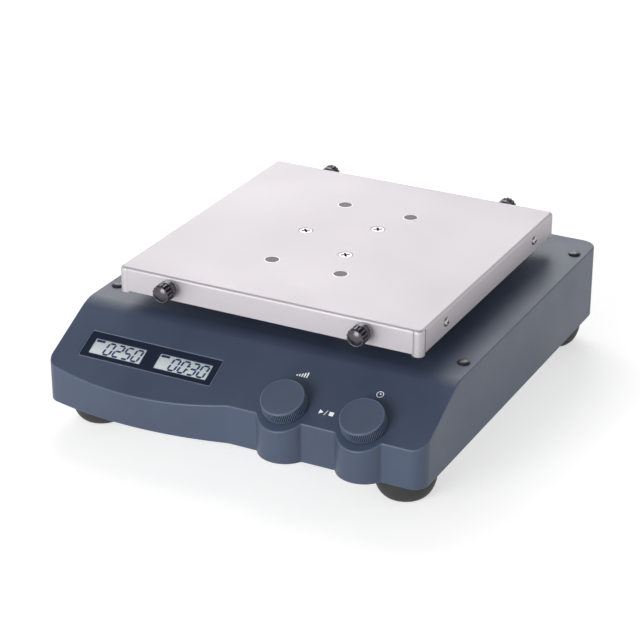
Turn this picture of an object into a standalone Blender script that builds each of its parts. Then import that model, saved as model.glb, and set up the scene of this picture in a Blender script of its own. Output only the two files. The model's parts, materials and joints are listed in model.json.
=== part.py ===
"""Digital orbital shaker for a laboratory bench.

A square metal platform swings in a small flat circle above a wedge-shaped housing. A motor, belt and
crank drive it, three idler cranks keep it from turning, and two knobs on the sloping panel set speed
and time. Metres, +Z up, front towards -Y, the feet stand on Z = 0.
"""

import math

import bmesh
import bpy
from mathutils import Matrix, Vector

# Clearances and cutting
GAP = 0.0003
RUNNING_GAP = 0.0001
LOOSE_GAP = 0.0004
OVERRUN = 0.004
ROUND_STEPS = 28
SMALL_STEPS = 20
INNER_STEPS = 16
TINY_STEPS = 10
ARC_STEP = math.radians(18.0)
SMALL_ARC_STEP = math.radians(45.0)
SMALL_ARC_RADIUS = 0.0025
DECIMALS = 6
WELD_DISTANCE = 0.00001
STEP_SLACK_SHARE = 0.001

# Housing shell
HOUSING_WIDTH = 0.2722
HOUSING_LENGTH = 0.2960
HOUSING_HEIGHT = 0.0529
HOUSING_LIFT = 0.0188
HOUSING_WALL = 0.0030
HOUSING_EDGE_ROUND = 0.0012
HOUSING_FRONT_CORNER = 0.0100
HOUSING_REAR_CORNER = 0.0120
PANEL_RUN = 0.0510
PANEL_ANGLE = math.radians(26.7)
DECK_ROUND = 0.0280

# Wavy front: a long swell under the display and a half-round bulge under each knob
SWELL_DEPTH = 0.0091
SWELL_STEPS = 10
KNEE_ROUND = 0.0200
BULGE_DEPTH = 0.0093
BULGE_RADIUS = 0.0182
BULGE_STEPS = 10
CREASE_ROUND = 0.0020

# Platform tray
PLATE_SIDE = 0.2200
PLATE_SHEET = 0.0015
PLATE_BEND = 0.0035
PLATE_CORNER = 0.0043
PLATE_FROM_REAR = 0.1344
FLANGE_HEIGHT = 0.0165
FLANGE_OVER_DECK = 0.0113
CORNER_DROP = 0.0018
CORNER_MARGIN = 0.0006
HUB_SCREW_CIRCLE = 0.0286
PLUG_PITCH_X = 0.0510
PLUG_PITCH_Y = 0.1082

# Screws, studs and plugs on the platform
HUB_SCREW_RADIUS = 0.0025
HUB_HEAD_RADIUS = 0.0048
HUB_SCREW_LENGTH = 0.0100
PLUG_RADIUS = 0.0047
PLUG_LIP = 0.0010
PLUG_LIP_THICKNESS = 0.0012
PLUG_SINK = 0.0002
THUMB_FROM_EDGE = 0.0395
THUMB_BELOW_TOP = 0.0075
THUMB_RADIUS = 0.0064
THUMB_FLUTE_DEPTH = 0.0004
THUMB_FLUTES = 14
THUMB_FLUTE_STEPS = 4
THUMB_GRIP_LENGTH = 0.0065
THUMB_COLLAR_LENGTH = 0.0045
THUMB_NECK_RADIUS = 0.0042
THUMB_NECK_LENGTH = 0.0016
THUMB_EDGE = 0.0006
STUD_RADIUS = 0.0025
STUD_LENGTH = 0.0140
LOCK_WASHER_RADIUS = 0.0052
LOCK_WASHER_THICKNESS = 0.0010
WELD_NUT_RADIUS = 0.0048
WELD_NUT_HEIGHT = 0.0040
SIDE_SCREW_FROM_EDGE = 0.0365
SIDE_SCREW_BELOW_TOP = 0.0083
SIDE_SCREW_RADIUS = 0.0015
SIDE_SCREW_HEAD_RADIUS = 0.0027
SIDE_SCREW_HEAD_HEIGHT = 0.0014
SIDE_SCREW_LENGTH = 0.0070
SIDE_NUT_RADIUS = 0.0033
SIDE_NUT_HEIGHT = 0.0024
CROSS_SLOT_WIDTH = 0.0009
CROSS_SLOT_DEPTH = 0.0011

# Drive: crank, idlers, bearings and carrier
ORBIT_RADIUS = 0.0020
SHAFT_RADIUS = 0.0060
CRANK_HEAD_RADIUS = 0.0110
CRANK_HEAD_HEIGHT = 0.0050
CRANK_PIN_RADIUS = 0.0050
CRANK_PIN_LENGTH = 0.0110
CRANK_OVER_DECK = 0.0040
CARRIER_THICKNESS = 0.0036
CARRIER_LOBE_RADIUS = 0.0150
CARRIER_BOSS_RADIUS = 0.0170
CARRIER_BOSS_HEIGHT = 0.0110
CARRIER_IDLER_BOSS_RADIUS = 0.0100
CARRIER_PLUG_CLEARANCE = 0.0018
PIN_BEARING_RADIUS = 0.0120
IDLER_CIRCLE = 0.0800
IDLER_SHAFT_RADIUS = 0.0040
IDLER_HEAD_RADIUS = 0.0070
IDLER_PIN_RADIUS = 0.0030
IDLER_HOUSING_RADIUS = 0.0080
IDLER_FLANGE_RADIUS = 0.0130
IDLER_HOUSING_DROP = 0.0090
MAIN_HOUSING_RADIUS = 0.0150
MAIN_FLANGE_RADIUS = 0.0220
MAIN_FLANGE_THICKNESS = 0.0030
MAIN_HOUSING_DROP = 0.0200
SHAFT_END_MARGIN = 0.0010
DECK_SHAFT_HOLE = 0.0130
DECK_IDLER_HOLE = 0.0075

# Chassis bracket inside the housing
CHASSIS_THICKNESS = 0.0025
CHASSIS_FROM_WALL = 0.0251
CHASSIS_LENGTH = 0.1840
CHASSIS_FOOT = 0.0130
CHASSIS_TOP_OVER_BASE = 0.0270

# Belt drive
DRIVEN_RADIUS = 0.0360
MOTOR_PULLEY_RADIUS = 0.0100
PULLEY_RIM = 0.0022
PULLEY_RIM_THICKNESS = 0.0010
BELT_WIDTH = 0.0060
BELT_THICKNESS = 0.0015
PULLEY_HUB_RADIUS = 0.0120
PULLEY_LIFT = 0.0030
COUNTERWEIGHT_RADIUS = 0.0320
COUNTERWEIGHT_THICKNESS = 0.0050
COUNTERWEIGHT_ARC_DEG = 150.0
MOTOR_CIRCLE = 0.0750
MOTOR_ANGLE = math.radians(120.0)
MOTOR_RADIUS = 0.0240
MOTOR_HEIGHT = 0.0225
MOTOR_SHAFT_RADIUS = 0.0025
MOTOR_SHAFT_DEPTH = 0.0080

# Base plate, feet and deck caps
BASE_THICKNESS = 0.0015
BASE_INSET = 0.0008
FOOT_FROM_SIDE = 0.0241
FOOT_FRONT = 0.0273
FOOT_REAR = 0.0224
FOOT_NECK_RADIUS = 0.0184
FOOT_RADIUS = 0.0200
FOOT_MID_RADIUS = 0.0194
FOOT_LOW_RADIUS = 0.0175
FOOT_TOE_RADIUS = 0.0155
FOOT_FLAT_RADIUS = 0.0130
FOOT_FULL_HEIGHT = 0.0120
FOOT_MID_HEIGHT = 0.0090
FOOT_LOW_HEIGHT = 0.0045
FOOT_TOE_HEIGHT = 0.0015
FOOT_RECESS_RADIUS = 0.0050
FOOT_RECESS_DEPTH = 0.0060
CAP_FROM_SIDE = 0.0081
CAP_FRONT_FROM_REAR = 0.2194
CAP_REAR_FROM_REAR = 0.0274
CAP_RADIUS = 0.0040
CAP_HEIGHT = 0.0014
CAP_EDGE = 0.0004
CAP_STEM_RADIUS = 0.0022
CAP_STEM_LENGTH = 0.0040
POST_RADIUS = 0.0055

# Display
DISPLAY_WIDTH = 0.1000
DISPLAY_HEIGHT = 0.0223
DISPLAY_DOWN = 0.0352
DISPLAY_CORNER = 0.0015
DISPLAY_RECESS = 0.0020
DISPLAY_LEDGE = 0.0030
WINDOW_THICKNESS = 0.0012
LCD_MARGIN_X = 0.0057
LCD_MARGIN_Y = 0.0049
LCD_SPACING = 0.0102
LCD_DROP = 0.0006
LCD_FACE_MARGIN = 0.0012
LCD_SINK = 0.0004

# Knobs and their push encoders
KNOB_SIDE_SHARES = (0.2719, 0.6767)
KNOB_DOWN = 0.0469
KNOB_BASE_RADIUS = 0.0148
KNOB_TOP_RADIUS = 0.0143
KNOB_HEIGHT = 0.0080
KNOB_LIFT = 0.0011
KNOB_TRAVEL = 0.0007
KNOB_RIM_ROUND = 0.0009
KNOB_RIBS = 60
KNOB_RIB_DEPTH = 0.0004
KNOB_WELL_RADIUS = 0.0075
KNOB_WELL_DEPTH = 0.0045
KNOB_STEM_RADIUS = 0.0030
KNOB_STEM_BORE = 0.0016
PUSH_ROD_RADIUS = 0.0012
PUSH_FOOT_RADIUS = 0.0026
PUSH_FOOT_THICKNESS = 0.0010
ENCODER_SIDE = 0.0120
ENCODER_BUSHING_RADIUS = 0.0045
ENCODER_BUSHING_HEIGHT = 0.0025

# Control board under the panel and power board at the rear
BOARD_THICKNESS = 0.0016
BOARD_DEPTH = 0.0105
BOARD_LEFT_MARGIN = 0.0111
BOARD_RIGHT_MARGIN = 0.0191
BOARD_ABOVE = 0.0122
BOARD_BELOW = 0.0183
BOARD_POST_RADIUS = 0.0028
BOARD_POST_INSET = 0.0045
BOARD_POST_FROM_DISPLAY = 0.0100
POWER_BOARD_LENGTH = 0.0800
POWER_BOARD_WIDTH = 0.0300
POWER_BOARD_FROM_SIDE = 0.0911
POWER_BOARD_FROM_REAR = 0.0230
STANDOFF_RADIUS = 0.0030
STANDOFF_HEIGHT = 0.0050
TRANSFORMER_SIDE = 0.0200
TRANSFORMER_HEIGHT = 0.0170
CAPACITOR_RADIUS = 0.0060
CAPACITOR_HEIGHT = 0.0150
CAPACITOR_SPACING = 0.0180

# Mains inlet with switch, in the rear wall
INLET_FROM_SIDE = 0.0561
INLET_UP = 0.0290
INLET_BODY_WIDTH = 0.0480
INLET_BODY_HEIGHT = 0.0280
INLET_BODY_DEPTH = 0.0240
INLET_RIM_WIDTH = 0.0560
INLET_RIM_HEIGHT = 0.0330
INLET_RIM_THICKNESS = 0.0014
SOCKET_OFFSET = 0.0095
SOCKET_WIDTH = 0.0240
SOCKET_HEIGHT = 0.0165
SOCKET_CHAMFER = 0.0050
SOCKET_DEPTH = 0.0160
BLADE_WIDTH = 0.0020
BLADE_HEIGHT = 0.0040
BLADE_LENGTH = 0.0120
BLADE_PITCH = 0.0070
BLADE_EARTH_OFFSET = 0.0040
SWITCH_OFFSET = 0.0145
ROCKER_WIDTH = 0.0120
ROCKER_HEIGHT = 0.0190
ROCKER_RADIUS = 0.0300
ROCKER_DEPTH = 0.0060
ROCKER_PROUD = 0.0010
ROCKER_TILT = math.radians(6.0)
ROCKER_GAP = 0.0007
VENT_COUNT = 5
VENT_PITCH = 0.0080
VENT_WIDTH = 0.0030
VENT_LENGTH = 0.0500

# Worked out from the sizes above
ROCKER_FACE = ROCKER_DEPTH / 2 + INLET_RIM_THICKNESS + ROCKER_PROUD
ROCKER_REACH = ROCKER_FACE * math.cos(ROCKER_TILT) + ROCKER_HEIGHT / 2 * math.sin(ROCKER_TILT)
REAR_OVERHANG = ROCKER_REACH - ROCKER_DEPTH / 2
OVERALL_LENGTH = HOUSING_LENGTH + BULGE_DEPTH + REAR_OVERHANG
REAR_Y = OVERALL_LENGTH / 2 - REAR_OVERHANG
FRONT_Y = REAR_Y - HOUSING_LENGTH
PLATE_Y = REAR_Y - PLATE_FROM_REAR
SHAFT_Y = PLATE_Y - ORBIT_RADIUS
SIDE_X = HOUSING_WIDTH / 2
DECK_Z = HOUSING_LIFT + HOUSING_HEIGHT
DECK_UNDER_Z = DECK_Z - HOUSING_WALL
PANEL_TOP_Y = FRONT_Y + PANEL_RUN
FLANGE_Z = DECK_Z + FLANGE_OVER_DECK
PLATE_Z = FLANGE_Z + FLANGE_HEIGHT
SHEET_UNDER_Z = PLATE_Z - PLATE_SHEET
BASE_Z = HOUSING_LIFT + BASE_INSET
BASE_TOP_Z = BASE_Z + BASE_THICKNESS
CHASSIS_TOP_Z = BASE_TOP_Z + CHASSIS_TOP_OVER_BASE
CHASSIS_UNDER_Z = CHASSIS_TOP_Z - CHASSIS_THICKNESS
CARRIER_TOP_Z = SHEET_UNDER_Z - GAP
CARRIER_Z = CARRIER_TOP_Z - CARRIER_THICKNESS
CARRIER_BOSS_Z = CARRIER_Z - CARRIER_BOSS_HEIGHT
CRANK_HEAD_Z = DECK_Z + CRANK_OVER_DECK
CRANK_PIN_Z = CRANK_HEAD_Z + CRANK_HEAD_HEIGHT
MAIN_FLANGE_TOP_Z = CHASSIS_TOP_Z + GAP + MAIN_FLANGE_THICKNESS
PULLEY_Z = MAIN_FLANGE_TOP_Z + PULLEY_LIFT
BELT_Z = PULLEY_Z + PULLEY_RIM_THICKNESS + GAP
PULLEY_TOP_Z = BELT_Z + BELT_WIDTH + GAP + PULLEY_RIM_THICKNESS
COUNTERWEIGHT_Z = PULLEY_TOP_Z + GAP
MOTOR_X = MOTOR_CIRCLE * math.cos(MOTOR_ANGLE)
MOTOR_Y = SHAFT_Y + MOTOR_CIRCLE * math.sin(MOTOR_ANGLE)
IDLER_ANGLES = [math.radians(60.0 + 120.0 * turn) for turn in range(3)]
SWELL_X = -SIDE_X / 2
DISPLAY_X = SWELL_X
LCD_WIDTH = (DISPLAY_WIDTH - LCD_SPACING) / 2 - LCD_MARGIN_X
LCD_HEIGHT = DISPLAY_HEIGHT - 2 * LCD_MARGIN_Y
LCD_PITCH = LCD_WIDTH + LCD_SPACING
LCD_DOWN = DISPLAY_DOWN + LCD_DROP
KNOB_X = [SIDE_X * share for share in KNOB_SIDE_SHARES]
KNOB_MIDDLE_X = sum(KNOB_X) / 2
BOARD_UNDER = BOARD_DEPTH + BOARD_THICKNESS
BOARD_LEFT = SIDE_X - HOUSING_WALL - BOARD_LEFT_MARGIN
BOARD_RIGHT = SIDE_X - HOUSING_WALL - BOARD_RIGHT_MARGIN
BOARD_TOP_DOWN = DISPLAY_DOWN - BOARD_ABOVE
BOARD_BOTTOM_DOWN = DISPLAY_DOWN + BOARD_BELOW
BOARD_POST_X = (DISPLAY_X + DISPLAY_WIDTH / 2 + BOARD_POST_FROM_DISPLAY, KNOB_MIDDLE_X)
CAP_X = SIDE_X - CAP_FROM_SIDE
FOOT_X = SIDE_X - FOOT_FROM_SIDE
THUMB_X = PLATE_SIDE / 2 - THUMB_FROM_EDGE
SIDE_SCREW_OUT = PLATE_SIDE / 2 - SIDE_SCREW_FROM_EDGE
CHASSIS_FOOT_X = SIDE_X - HOUSING_WALL - CHASSIS_FROM_WALL
INLET_X = INLET_FROM_SIDE - SIDE_X
POWER_BOARD_X = SIDE_X - POWER_BOARD_FROM_SIDE
PLUG_SPOTS = [(i * PLUG_PITCH_X / 2, j * PLUG_PITCH_Y / 2) for j in (-1, 1) for i in (-1, 1)]
FOOT_SPOTS = [(i * FOOT_X, y) for y in (FRONT_Y + FOOT_FRONT, REAR_Y - FOOT_REAR) for i in (-1, 1)]
CAP_SPOTS = [
    (i * CAP_X, REAR_Y - from_rear)
    for from_rear in (CAP_FRONT_FROM_REAR, CAP_REAR_FROM_REAR)
    for i in (-1, 1)
]
CORNER_NAMES = ("front_left", "front_right", "rear_left", "rear_right")


# Scene and object helpers
def clear_scene():
    for obj in list(bpy.data.objects):
        bpy.data.objects.remove(obj, do_unlink=True)
    for collection in list(bpy.data.collections):
        bpy.data.collections.remove(collection)


def new_collection(name):
    collection = bpy.data.collections.new(name)
    bpy.context.scene.collection.children.link(collection)
    return collection


def material(name, colour, roughness, metallic=0.0):
    made = bpy.data.materials.new(name)
    made.use_nodes = True
    shader = made.node_tree.nodes["Principled BSDF"]
    shader.inputs["Base Color"].default_value = (*colour, 1.0)
    shader.inputs["Roughness"].default_value = roughness
    shader.inputs["Metallic"].default_value = metallic
    return made


def object_from(name, bm, place=None):
    mesh = bpy.data.meshes.new(name)
    bm.to_mesh(mesh)
    bm.free()
    obj = bpy.data.objects.new(name, mesh)
    TOOLS.objects.link(obj)
    obj.hide_render = True
    obj.display_type = "WIRE"
    if place is not None:
        obj.matrix_world = place
    return obj


def finish(obj, made, smooth_angle=math.radians(35.0)):
    """Moves a piece from the tools to the parts, with its material and smooth round faces."""
    TOOLS.objects.unlink(obj)
    PARTS.objects.link(obj)
    obj.hide_render = False
    obj.display_type = "TEXTURED"
    obj.data.materials.clear()
    obj.data.materials.append(made)
    obj.data.shade_smooth()
    obj.data.set_sharp_from_angle(angle=smooth_angle)
    return obj


def carry(name, spot, carried):
    """An empty on a joint's axis, for moving pieces whose own origins lie elsewhere."""
    pivot = bpy.data.objects.new(name, None)
    PARTS.objects.link(pivot)
    pivot.matrix_world = Matrix.Translation(spot)
    for obj in carried:
        obj.parent = pivot
        obj.matrix_parent_inverse = pivot.matrix_world.inverted()


# Shape helpers
def box(name, low, high, place=None):
    low, high = Vector(low), Vector(high)
    bm = bmesh.new()
    bmesh.ops.create_cube(bm, size=1.0)
    bmesh.ops.scale(bm, vec=high - low, verts=bm.verts)
    bmesh.ops.translate(bm, vec=(low + high) / 2, verts=bm.verts)
    return object_from(name, bm, place)


def rod(name, radius, bottom, top, at=(0, 0), steps=ROUND_STEPS, place=None):
    bm = bmesh.new()
    bmesh.ops.create_cone(
        bm, cap_ends=True, segments=steps, radius1=radius, radius2=radius, depth=top - bottom
    )
    bmesh.ops.translate(bm, vec=(at[0], at[1], (bottom + top) / 2), verts=bm.verts)
    return object_from(name, bm, place)


def turned(name, profile, at=(0, 0), steps=ROUND_STEPS, closed=False, place=None):
    """A Screw round Z. The profile of (radius, height) runs down the outer side."""
    bm = bmesh.new()
    verts = [bm.verts.new((radius, 0, height)) for radius, height in profile]
    for first, second in zip(verts, verts[1:]):
        bm.edges.new((first, second))
    if closed:
        bm.edges.new((verts[-1], verts[0]))
    spot = Matrix.Translation((at[0], at[1], 0))
    obj = object_from(name, bm, spot if place is None else place @ spot)
    screw = obj.modifiers.new("turn", "SCREW")
    screw.axis = "Z"
    screw.angle = math.tau
    screw.steps = steps
    screw.render_steps = steps
    screw.use_merge_vertices = True
    screw.merge_threshold = WELD_DISTANCE
    return obj


def stacked(name, layers, place=None):
    """A closed solid through (outline, height) layers, from the bottom up, with equal numbers of points."""
    bm = bmesh.new()
    loops = [[bm.verts.new((x, y, height)) for x, y in outline] for outline, height in layers]
    bm.faces.new(reversed(loops[0]))
    bm.faces.new(loops[-1])
    for lower, upper in zip(loops, loops[1:]):
        for index in range(len(lower)):
            bm.faces.new((lower[index - 1], lower[index], upper[index], upper[index - 1]))
    bmesh.ops.remove_doubles(bm, verts=bm.verts, dist=WELD_DISTANCE)
    bmesh.ops.recalc_face_normals(bm, faces=bm.faces)
    return object_from(name, bm, place)


def flat_outline(name, outline, bottom, top, place=None, holes=()):
    """An outline of (x, y) points, extruded from bottom to top as a filled 2D curve and made a mesh."""
    curve = bpy.data.curves.new(name, "CURVE")
    curve.dimensions = "2D"
    curve.fill_mode = "BOTH"
    curve.extrude = (top - bottom) / 2
    for loop in (outline, *holes):
        spline = curve.splines.new("POLY")
        spline.points.add(len(loop) - 1)
        for point, (x, y) in zip(spline.points, loop):
            point.co = (round(x, DECIMALS), round(y, DECIMALS), 0, 1)
        spline.use_cyclic_u = True
    guide = bpy.data.objects.new(name + "_guide", curve)
    TOOLS.objects.link(guide)
    bpy.context.view_layer.update()
    filled = bpy.data.meshes.new_from_object(guide.evaluated_get(bpy.context.evaluated_depsgraph_get()))
    bm = bmesh.new()
    bm.from_mesh(filled)
    bmesh.ops.remove_doubles(bm, verts=bm.verts, dist=WELD_DISTANCE)
    if not holes:
        caps = [face for face in bm.faces if abs(face.normal.z) > abs(face.normal.x) + abs(face.normal.y)]
        bmesh.ops.dissolve_faces(bm, faces=caps)
    bmesh.ops.recalc_face_normals(bm, faces=bm.faces)
    bmesh.ops.translate(bm, vec=(0, 0, (bottom + top) / 2), verts=bm.verts)
    bpy.data.objects.remove(guide, do_unlink=True)
    bpy.data.meshes.remove(filled)
    return object_from(name, bm, place)


def boolean(target, other, operation, solver="EXACT"):
    modifier = target.modifiers.new(operation.lower() + "_" + other.name, "BOOLEAN")
    modifier.operation = operation
    modifier.solver = solver
    modifier.object = other
    return target


def cut(target, *others):
    for other in others:
        boolean(target, other, "DIFFERENCE")
    return target


def join(target, *others):
    for other in others:
        boolean(target, other, "UNION")
    return target


def soften(target, width, segments=2, angle=math.radians(40.0)):
    bevel = target.modifiers.new("soft_edges", "BEVEL")
    bevel.width = width
    bevel.segments = segments
    bevel.limit_method = "ANGLE"
    bevel.angle_limit = angle
    bevel.use_clamp_overlap = False
    return target


# Outline helpers
def arc(centre, radius, start, end, steps):
    turn = (end - start) / steps
    return [
        (centre[0] + radius * math.cos(start + turn * i), centre[1] + radius * math.sin(start + turn * i))
        for i in range(steps + 1)
    ]


def rounded(corners):
    """An outline of (x, y, radius) corners, each with its arc in place of the corner."""
    points = []
    for index, (x, y, radius) in enumerate(corners):
        if radius == 0:
            points.append((x, y))
            continue
        corner = Vector((x, y))
        before = (Vector(corners[index - 1][:2]) - corner).normalized()
        after = (Vector(corners[(index + 1) % len(corners)][:2]) - corner).normalized()
        half = before.angle(after) / 2
        centre = corner + (before + after).normalized() * radius / math.sin(half)
        start = corner + before * radius / math.tan(half) - centre
        sweep = start.angle_signed(corner + after * radius / math.tan(half) - centre)
        step = ARC_STEP if radius > SMALL_ARC_RADIUS else SMALL_ARC_STEP
        steps = max(2, math.ceil(abs(sweep) / step - STEP_SLACK_SHARE))
        first = math.atan2(start.y, start.x)
        points += arc(centre, radius, first, first - sweep, steps)
    return points


def inset(points, distance):
    """A counter-clockwise outline moved inwards by a distance."""
    moved = []
    for index, point in enumerate(points):
        here = Vector(point)
        before = (here - Vector(points[index - 1])).normalized()
        after = (Vector(points[(index + 1) % len(points)]) - here).normalized()
        inward = Vector((-before.y - after.y, before.x + after.x)).normalized()
        cosine = inward.dot(Vector((-after.y, after.x)))
        moved.append(tuple(here + inward * distance / cosine))
    return moved


def rectangle(width, height, radius, centre=(0, 0)):
    x, y = width / 2, height / 2
    return rounded([
        (centre[0] + i * x, centre[1] + j * y, radius) for i, j in ((-1, -1), (1, -1), (1, 1), (-1, 1))
    ])


def bulge_points(x):
    """The half-round bulge under a knob, from its left crease to its right one."""
    centre = (x, FRONT_Y - BULGE_DEPTH + BULGE_RADIUS)
    half = math.acos((BULGE_RADIUS - BULGE_DEPTH) / BULGE_RADIUS)
    down = -math.pi / 2
    points = arc(centre, BULGE_RADIUS, down - half, down + half, BULGE_STEPS)
    creases = (0, len(points) - 1)
    return [(*point, CREASE_ROUND if i in creases else 0) for i, point in enumerate(points)]


def swell_points():
    """The long shallow swell of the left half, from the left wall to the knee at mid-width."""
    half_chord = SIDE_X / 2
    radius = (half_chord**2 + SWELL_DEPTH**2) / (2 * SWELL_DEPTH)
    centre = (SWELL_X, FRONT_Y - SWELL_DEPTH + radius)
    half = math.asin(half_chord / radius)
    down = -math.pi / 2
    points = arc(centre, radius, down - half, down + half, SWELL_STEPS)
    rounds = {0: HOUSING_FRONT_CORNER, len(points) - 1: KNEE_ROUND}
    return [(*point, rounds.get(i, 0)) for i, point in enumerate(points)]


def housing_outline():
    corners = swell_points()
    for x in KNOB_X:
        corners += bulge_points(x)
    corners += [
        (SIDE_X, FRONT_Y, HOUSING_FRONT_CORNER),
        (SIDE_X, REAR_Y, HOUSING_REAR_CORNER),
        (-SIDE_X, REAR_Y, HOUSING_REAR_CORNER),
    ]
    return rounded(corners)


def wedge(name, sunk):
    """The side view, deck and sloping panel, as a block across the width, sunk below the surface."""
    half_width = SIDE_X + OVERRUN
    front = FRONT_Y - SWELL_DEPTH - BULGE_DEPTH
    top = DECK_Z - sunk
    slope_start = PANEL_TOP_Y + sunk * math.tan(PANEL_ANGLE / 2)
    low = top - (slope_start - front) * math.tan(PANEL_ANGLE)
    outline = rounded([
        (front, HOUSING_LIFT - 2 * OVERRUN, 0),
        (REAR_Y + OVERRUN, HOUSING_LIFT - 2 * OVERRUN, 0),
        (REAR_Y + OVERRUN, top, 0),
        (slope_start, top, DECK_ROUND - sunk),
        (front, low, 0),
    ])
    across = Matrix(((0, 0, 1, 0), (1, 0, 0, 0), (0, 1, 0, 0), (0, 0, 0, 1)))
    return flat_outline(name, outline, -half_width, half_width, across)


def panel_place(x, down, height=0):
    """A frame on the panel: X along it, Y up the slope, Z out of it."""
    spot = Vector((x, PANEL_TOP_Y - down * math.cos(PANEL_ANGLE), DECK_Z - down * math.sin(PANEL_ANGLE)))
    out = Vector((0, -math.sin(PANEL_ANGLE), math.cos(PANEL_ANGLE)))
    return Matrix.Translation(spot + out * height) @ Matrix.Rotation(PANEL_ANGLE, 4, "X")


# Housing, base and feet
def rear_place(x, z):
    """A frame on the rear wall: X to the left seen from behind, Y up, Z out of the wall."""
    turn = Matrix(((-1, 0, 0, 0), (0, 0, 1, 0), (0, 1, 0, 0), (0, 0, 0, 1)))
    return Matrix.Translation((x, REAR_Y, z)) @ turn


def make_housing():
    outline = housing_outline()
    shell = flat_outline("housing", outline, HOUSING_LIFT, DECK_Z + OVERRUN)
    boolean(shell, wedge("outer_wedge", 0), "INTERSECT", "MANIFOLD")
    soften(shell, HOUSING_EDGE_ROUND)
    hollow = flat_outline(
        "housing_hollow", inset(outline, HOUSING_WALL), HOUSING_LIFT - OVERRUN, DECK_Z + OVERRUN
    )
    boolean(hollow, wedge("inner_wedge", HOUSING_WALL), "INTERSECT", "MANIFOLD")
    boolean(shell, hollow, "DIFFERENCE", "MANIFOLD")
    join(shell, *housing_posts())
    cut(shell, *housing_openings())
    return finish(shell, SHELL_BLUE)


def housing_posts():
    posts = []
    for name, spot in zip(CORNER_NAMES, CAP_SPOTS):
        posts.append(rod("post_" + name, POST_RADIUS, BASE_TOP_Z + GAP, DECK_UNDER_Z + GAP,
                         spot, TINY_STEPS))
    for number, (x, down) in enumerate(board_post_spots()):
        place = panel_place(x, down)
        top = GAP - HOUSING_WALL
        posts.append(rod(f"board_post_{number}", BOARD_POST_RADIUS, GAP - BOARD_DEPTH, top,
                         steps=TINY_STEPS, place=place))
    return posts


def board_post_spots():
    downs = (BOARD_TOP_DOWN + BOARD_POST_INSET, BOARD_BOTTOM_DOWN - BOARD_POST_INSET)
    return [(x, down) for x in BOARD_POST_X for down in downs]


def housing_openings():
    panel = panel_place(DISPLAY_X, DISPLAY_DOWN)
    window = rectangle(DISPLAY_WIDTH, DISPLAY_HEIGHT, DISPLAY_CORNER)
    throat = rectangle(
        DISPLAY_WIDTH - 2 * DISPLAY_LEDGE, DISPLAY_HEIGHT - 2 * DISPLAY_LEDGE, DISPLAY_CORNER
    )
    holes = [
        flat_outline("display_recess", window, -DISPLAY_RECESS, OVERRUN, panel),
        flat_outline("display_throat", throat, -OVERRUN - HOUSING_WALL, OVERRUN, panel),
        rod("shaft_hole", DECK_SHAFT_HOLE, DECK_UNDER_Z - OVERRUN, DECK_Z + OVERRUN, (0, SHAFT_Y),
            SMALL_STEPS),
    ]
    for x in KNOB_X:
        place = panel_place(x, KNOB_DOWN)
        radius = ENCODER_BUSHING_RADIUS + GAP
        holes.append(rod("encoder_hole", radius, -OVERRUN - HOUSING_WALL, OVERRUN,
                         steps=INNER_STEPS, place=place))
    for spot in idler_spots():
        holes.append(rod("idler_hole", DECK_IDLER_HOLE, DECK_UNDER_Z - OVERRUN, DECK_Z + OVERRUN,
                         spot, INNER_STEPS))
    for spot in CAP_SPOTS:
        holes.append(rod("cap_hole", CAP_STEM_RADIUS + GAP, DECK_Z - CAP_STEM_LENGTH - GAP,
                         DECK_Z + OVERRUN, spot, TINY_STEPS))
    rear = rear_place(INLET_X, HOUSING_LIFT + INLET_UP)
    hole = rectangle(INLET_BODY_WIDTH + 2 * GAP, INLET_BODY_HEIGHT + 2 * GAP, 0)
    holes.append(flat_outline("inlet_hole", hole, -OVERRUN - HOUSING_WALL, OVERRUN, rear))
    return holes


def idler_spots(offset=0):
    """Where the idlers stand, or with the orbit radius as offset, where their pins are at rest."""
    return [
        (IDLER_CIRCLE * math.cos(angle), SHAFT_Y + offset + IDLER_CIRCLE * math.sin(angle))
        for angle in IDLER_ANGLES
    ]


def make_base_plate():
    outline = inset(housing_outline(), HOUSING_WALL + GAP)
    holes = []
    for number in range(VENT_COUNT):
        x = (number - (VENT_COUNT - 1) / 2) * VENT_PITCH
        holes.append(rectangle(VENT_WIDTH, VENT_LENGTH, VENT_WIDTH / 2, (x, PLATE_Y)))
    for spot in FOOT_SPOTS:
        holes.append(arc(spot, FOOT_RECESS_RADIUS / 2, 0, math.tau, TINY_STEPS)[1:])
    plate = flat_outline("base_plate", outline, BASE_Z, BASE_TOP_Z, holes=holes)
    return finish(plate, STEEL_DARK)


def make_feet():
    """Rubber feet under the base plate, each with a bowl-shaped side and a recess for its screw."""
    top = BASE_Z - GAP
    neck = HOUSING_LIFT - LOOSE_GAP
    profile = [
        (0, top),
        (FOOT_NECK_RADIUS, top),
        (FOOT_NECK_RADIUS, neck),
        (FOOT_RADIUS, neck),
        (FOOT_RADIUS, FOOT_FULL_HEIGHT),
        (FOOT_MID_RADIUS, FOOT_MID_HEIGHT),
        (FOOT_LOW_RADIUS, FOOT_LOW_HEIGHT),
        (FOOT_TOE_RADIUS, FOOT_TOE_HEIGHT),
        (FOOT_FLAT_RADIUS, 0),
        (FOOT_RECESS_RADIUS, 0),
        (FOOT_RECESS_RADIUS, FOOT_RECESS_DEPTH),
        (0, FOOT_RECESS_DEPTH),
    ]
    for name, spot in zip(CORNER_NAMES, FOOT_SPOTS):
        finish(turned("foot_" + name, profile, spot, INNER_STEPS), RUBBER)


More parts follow.
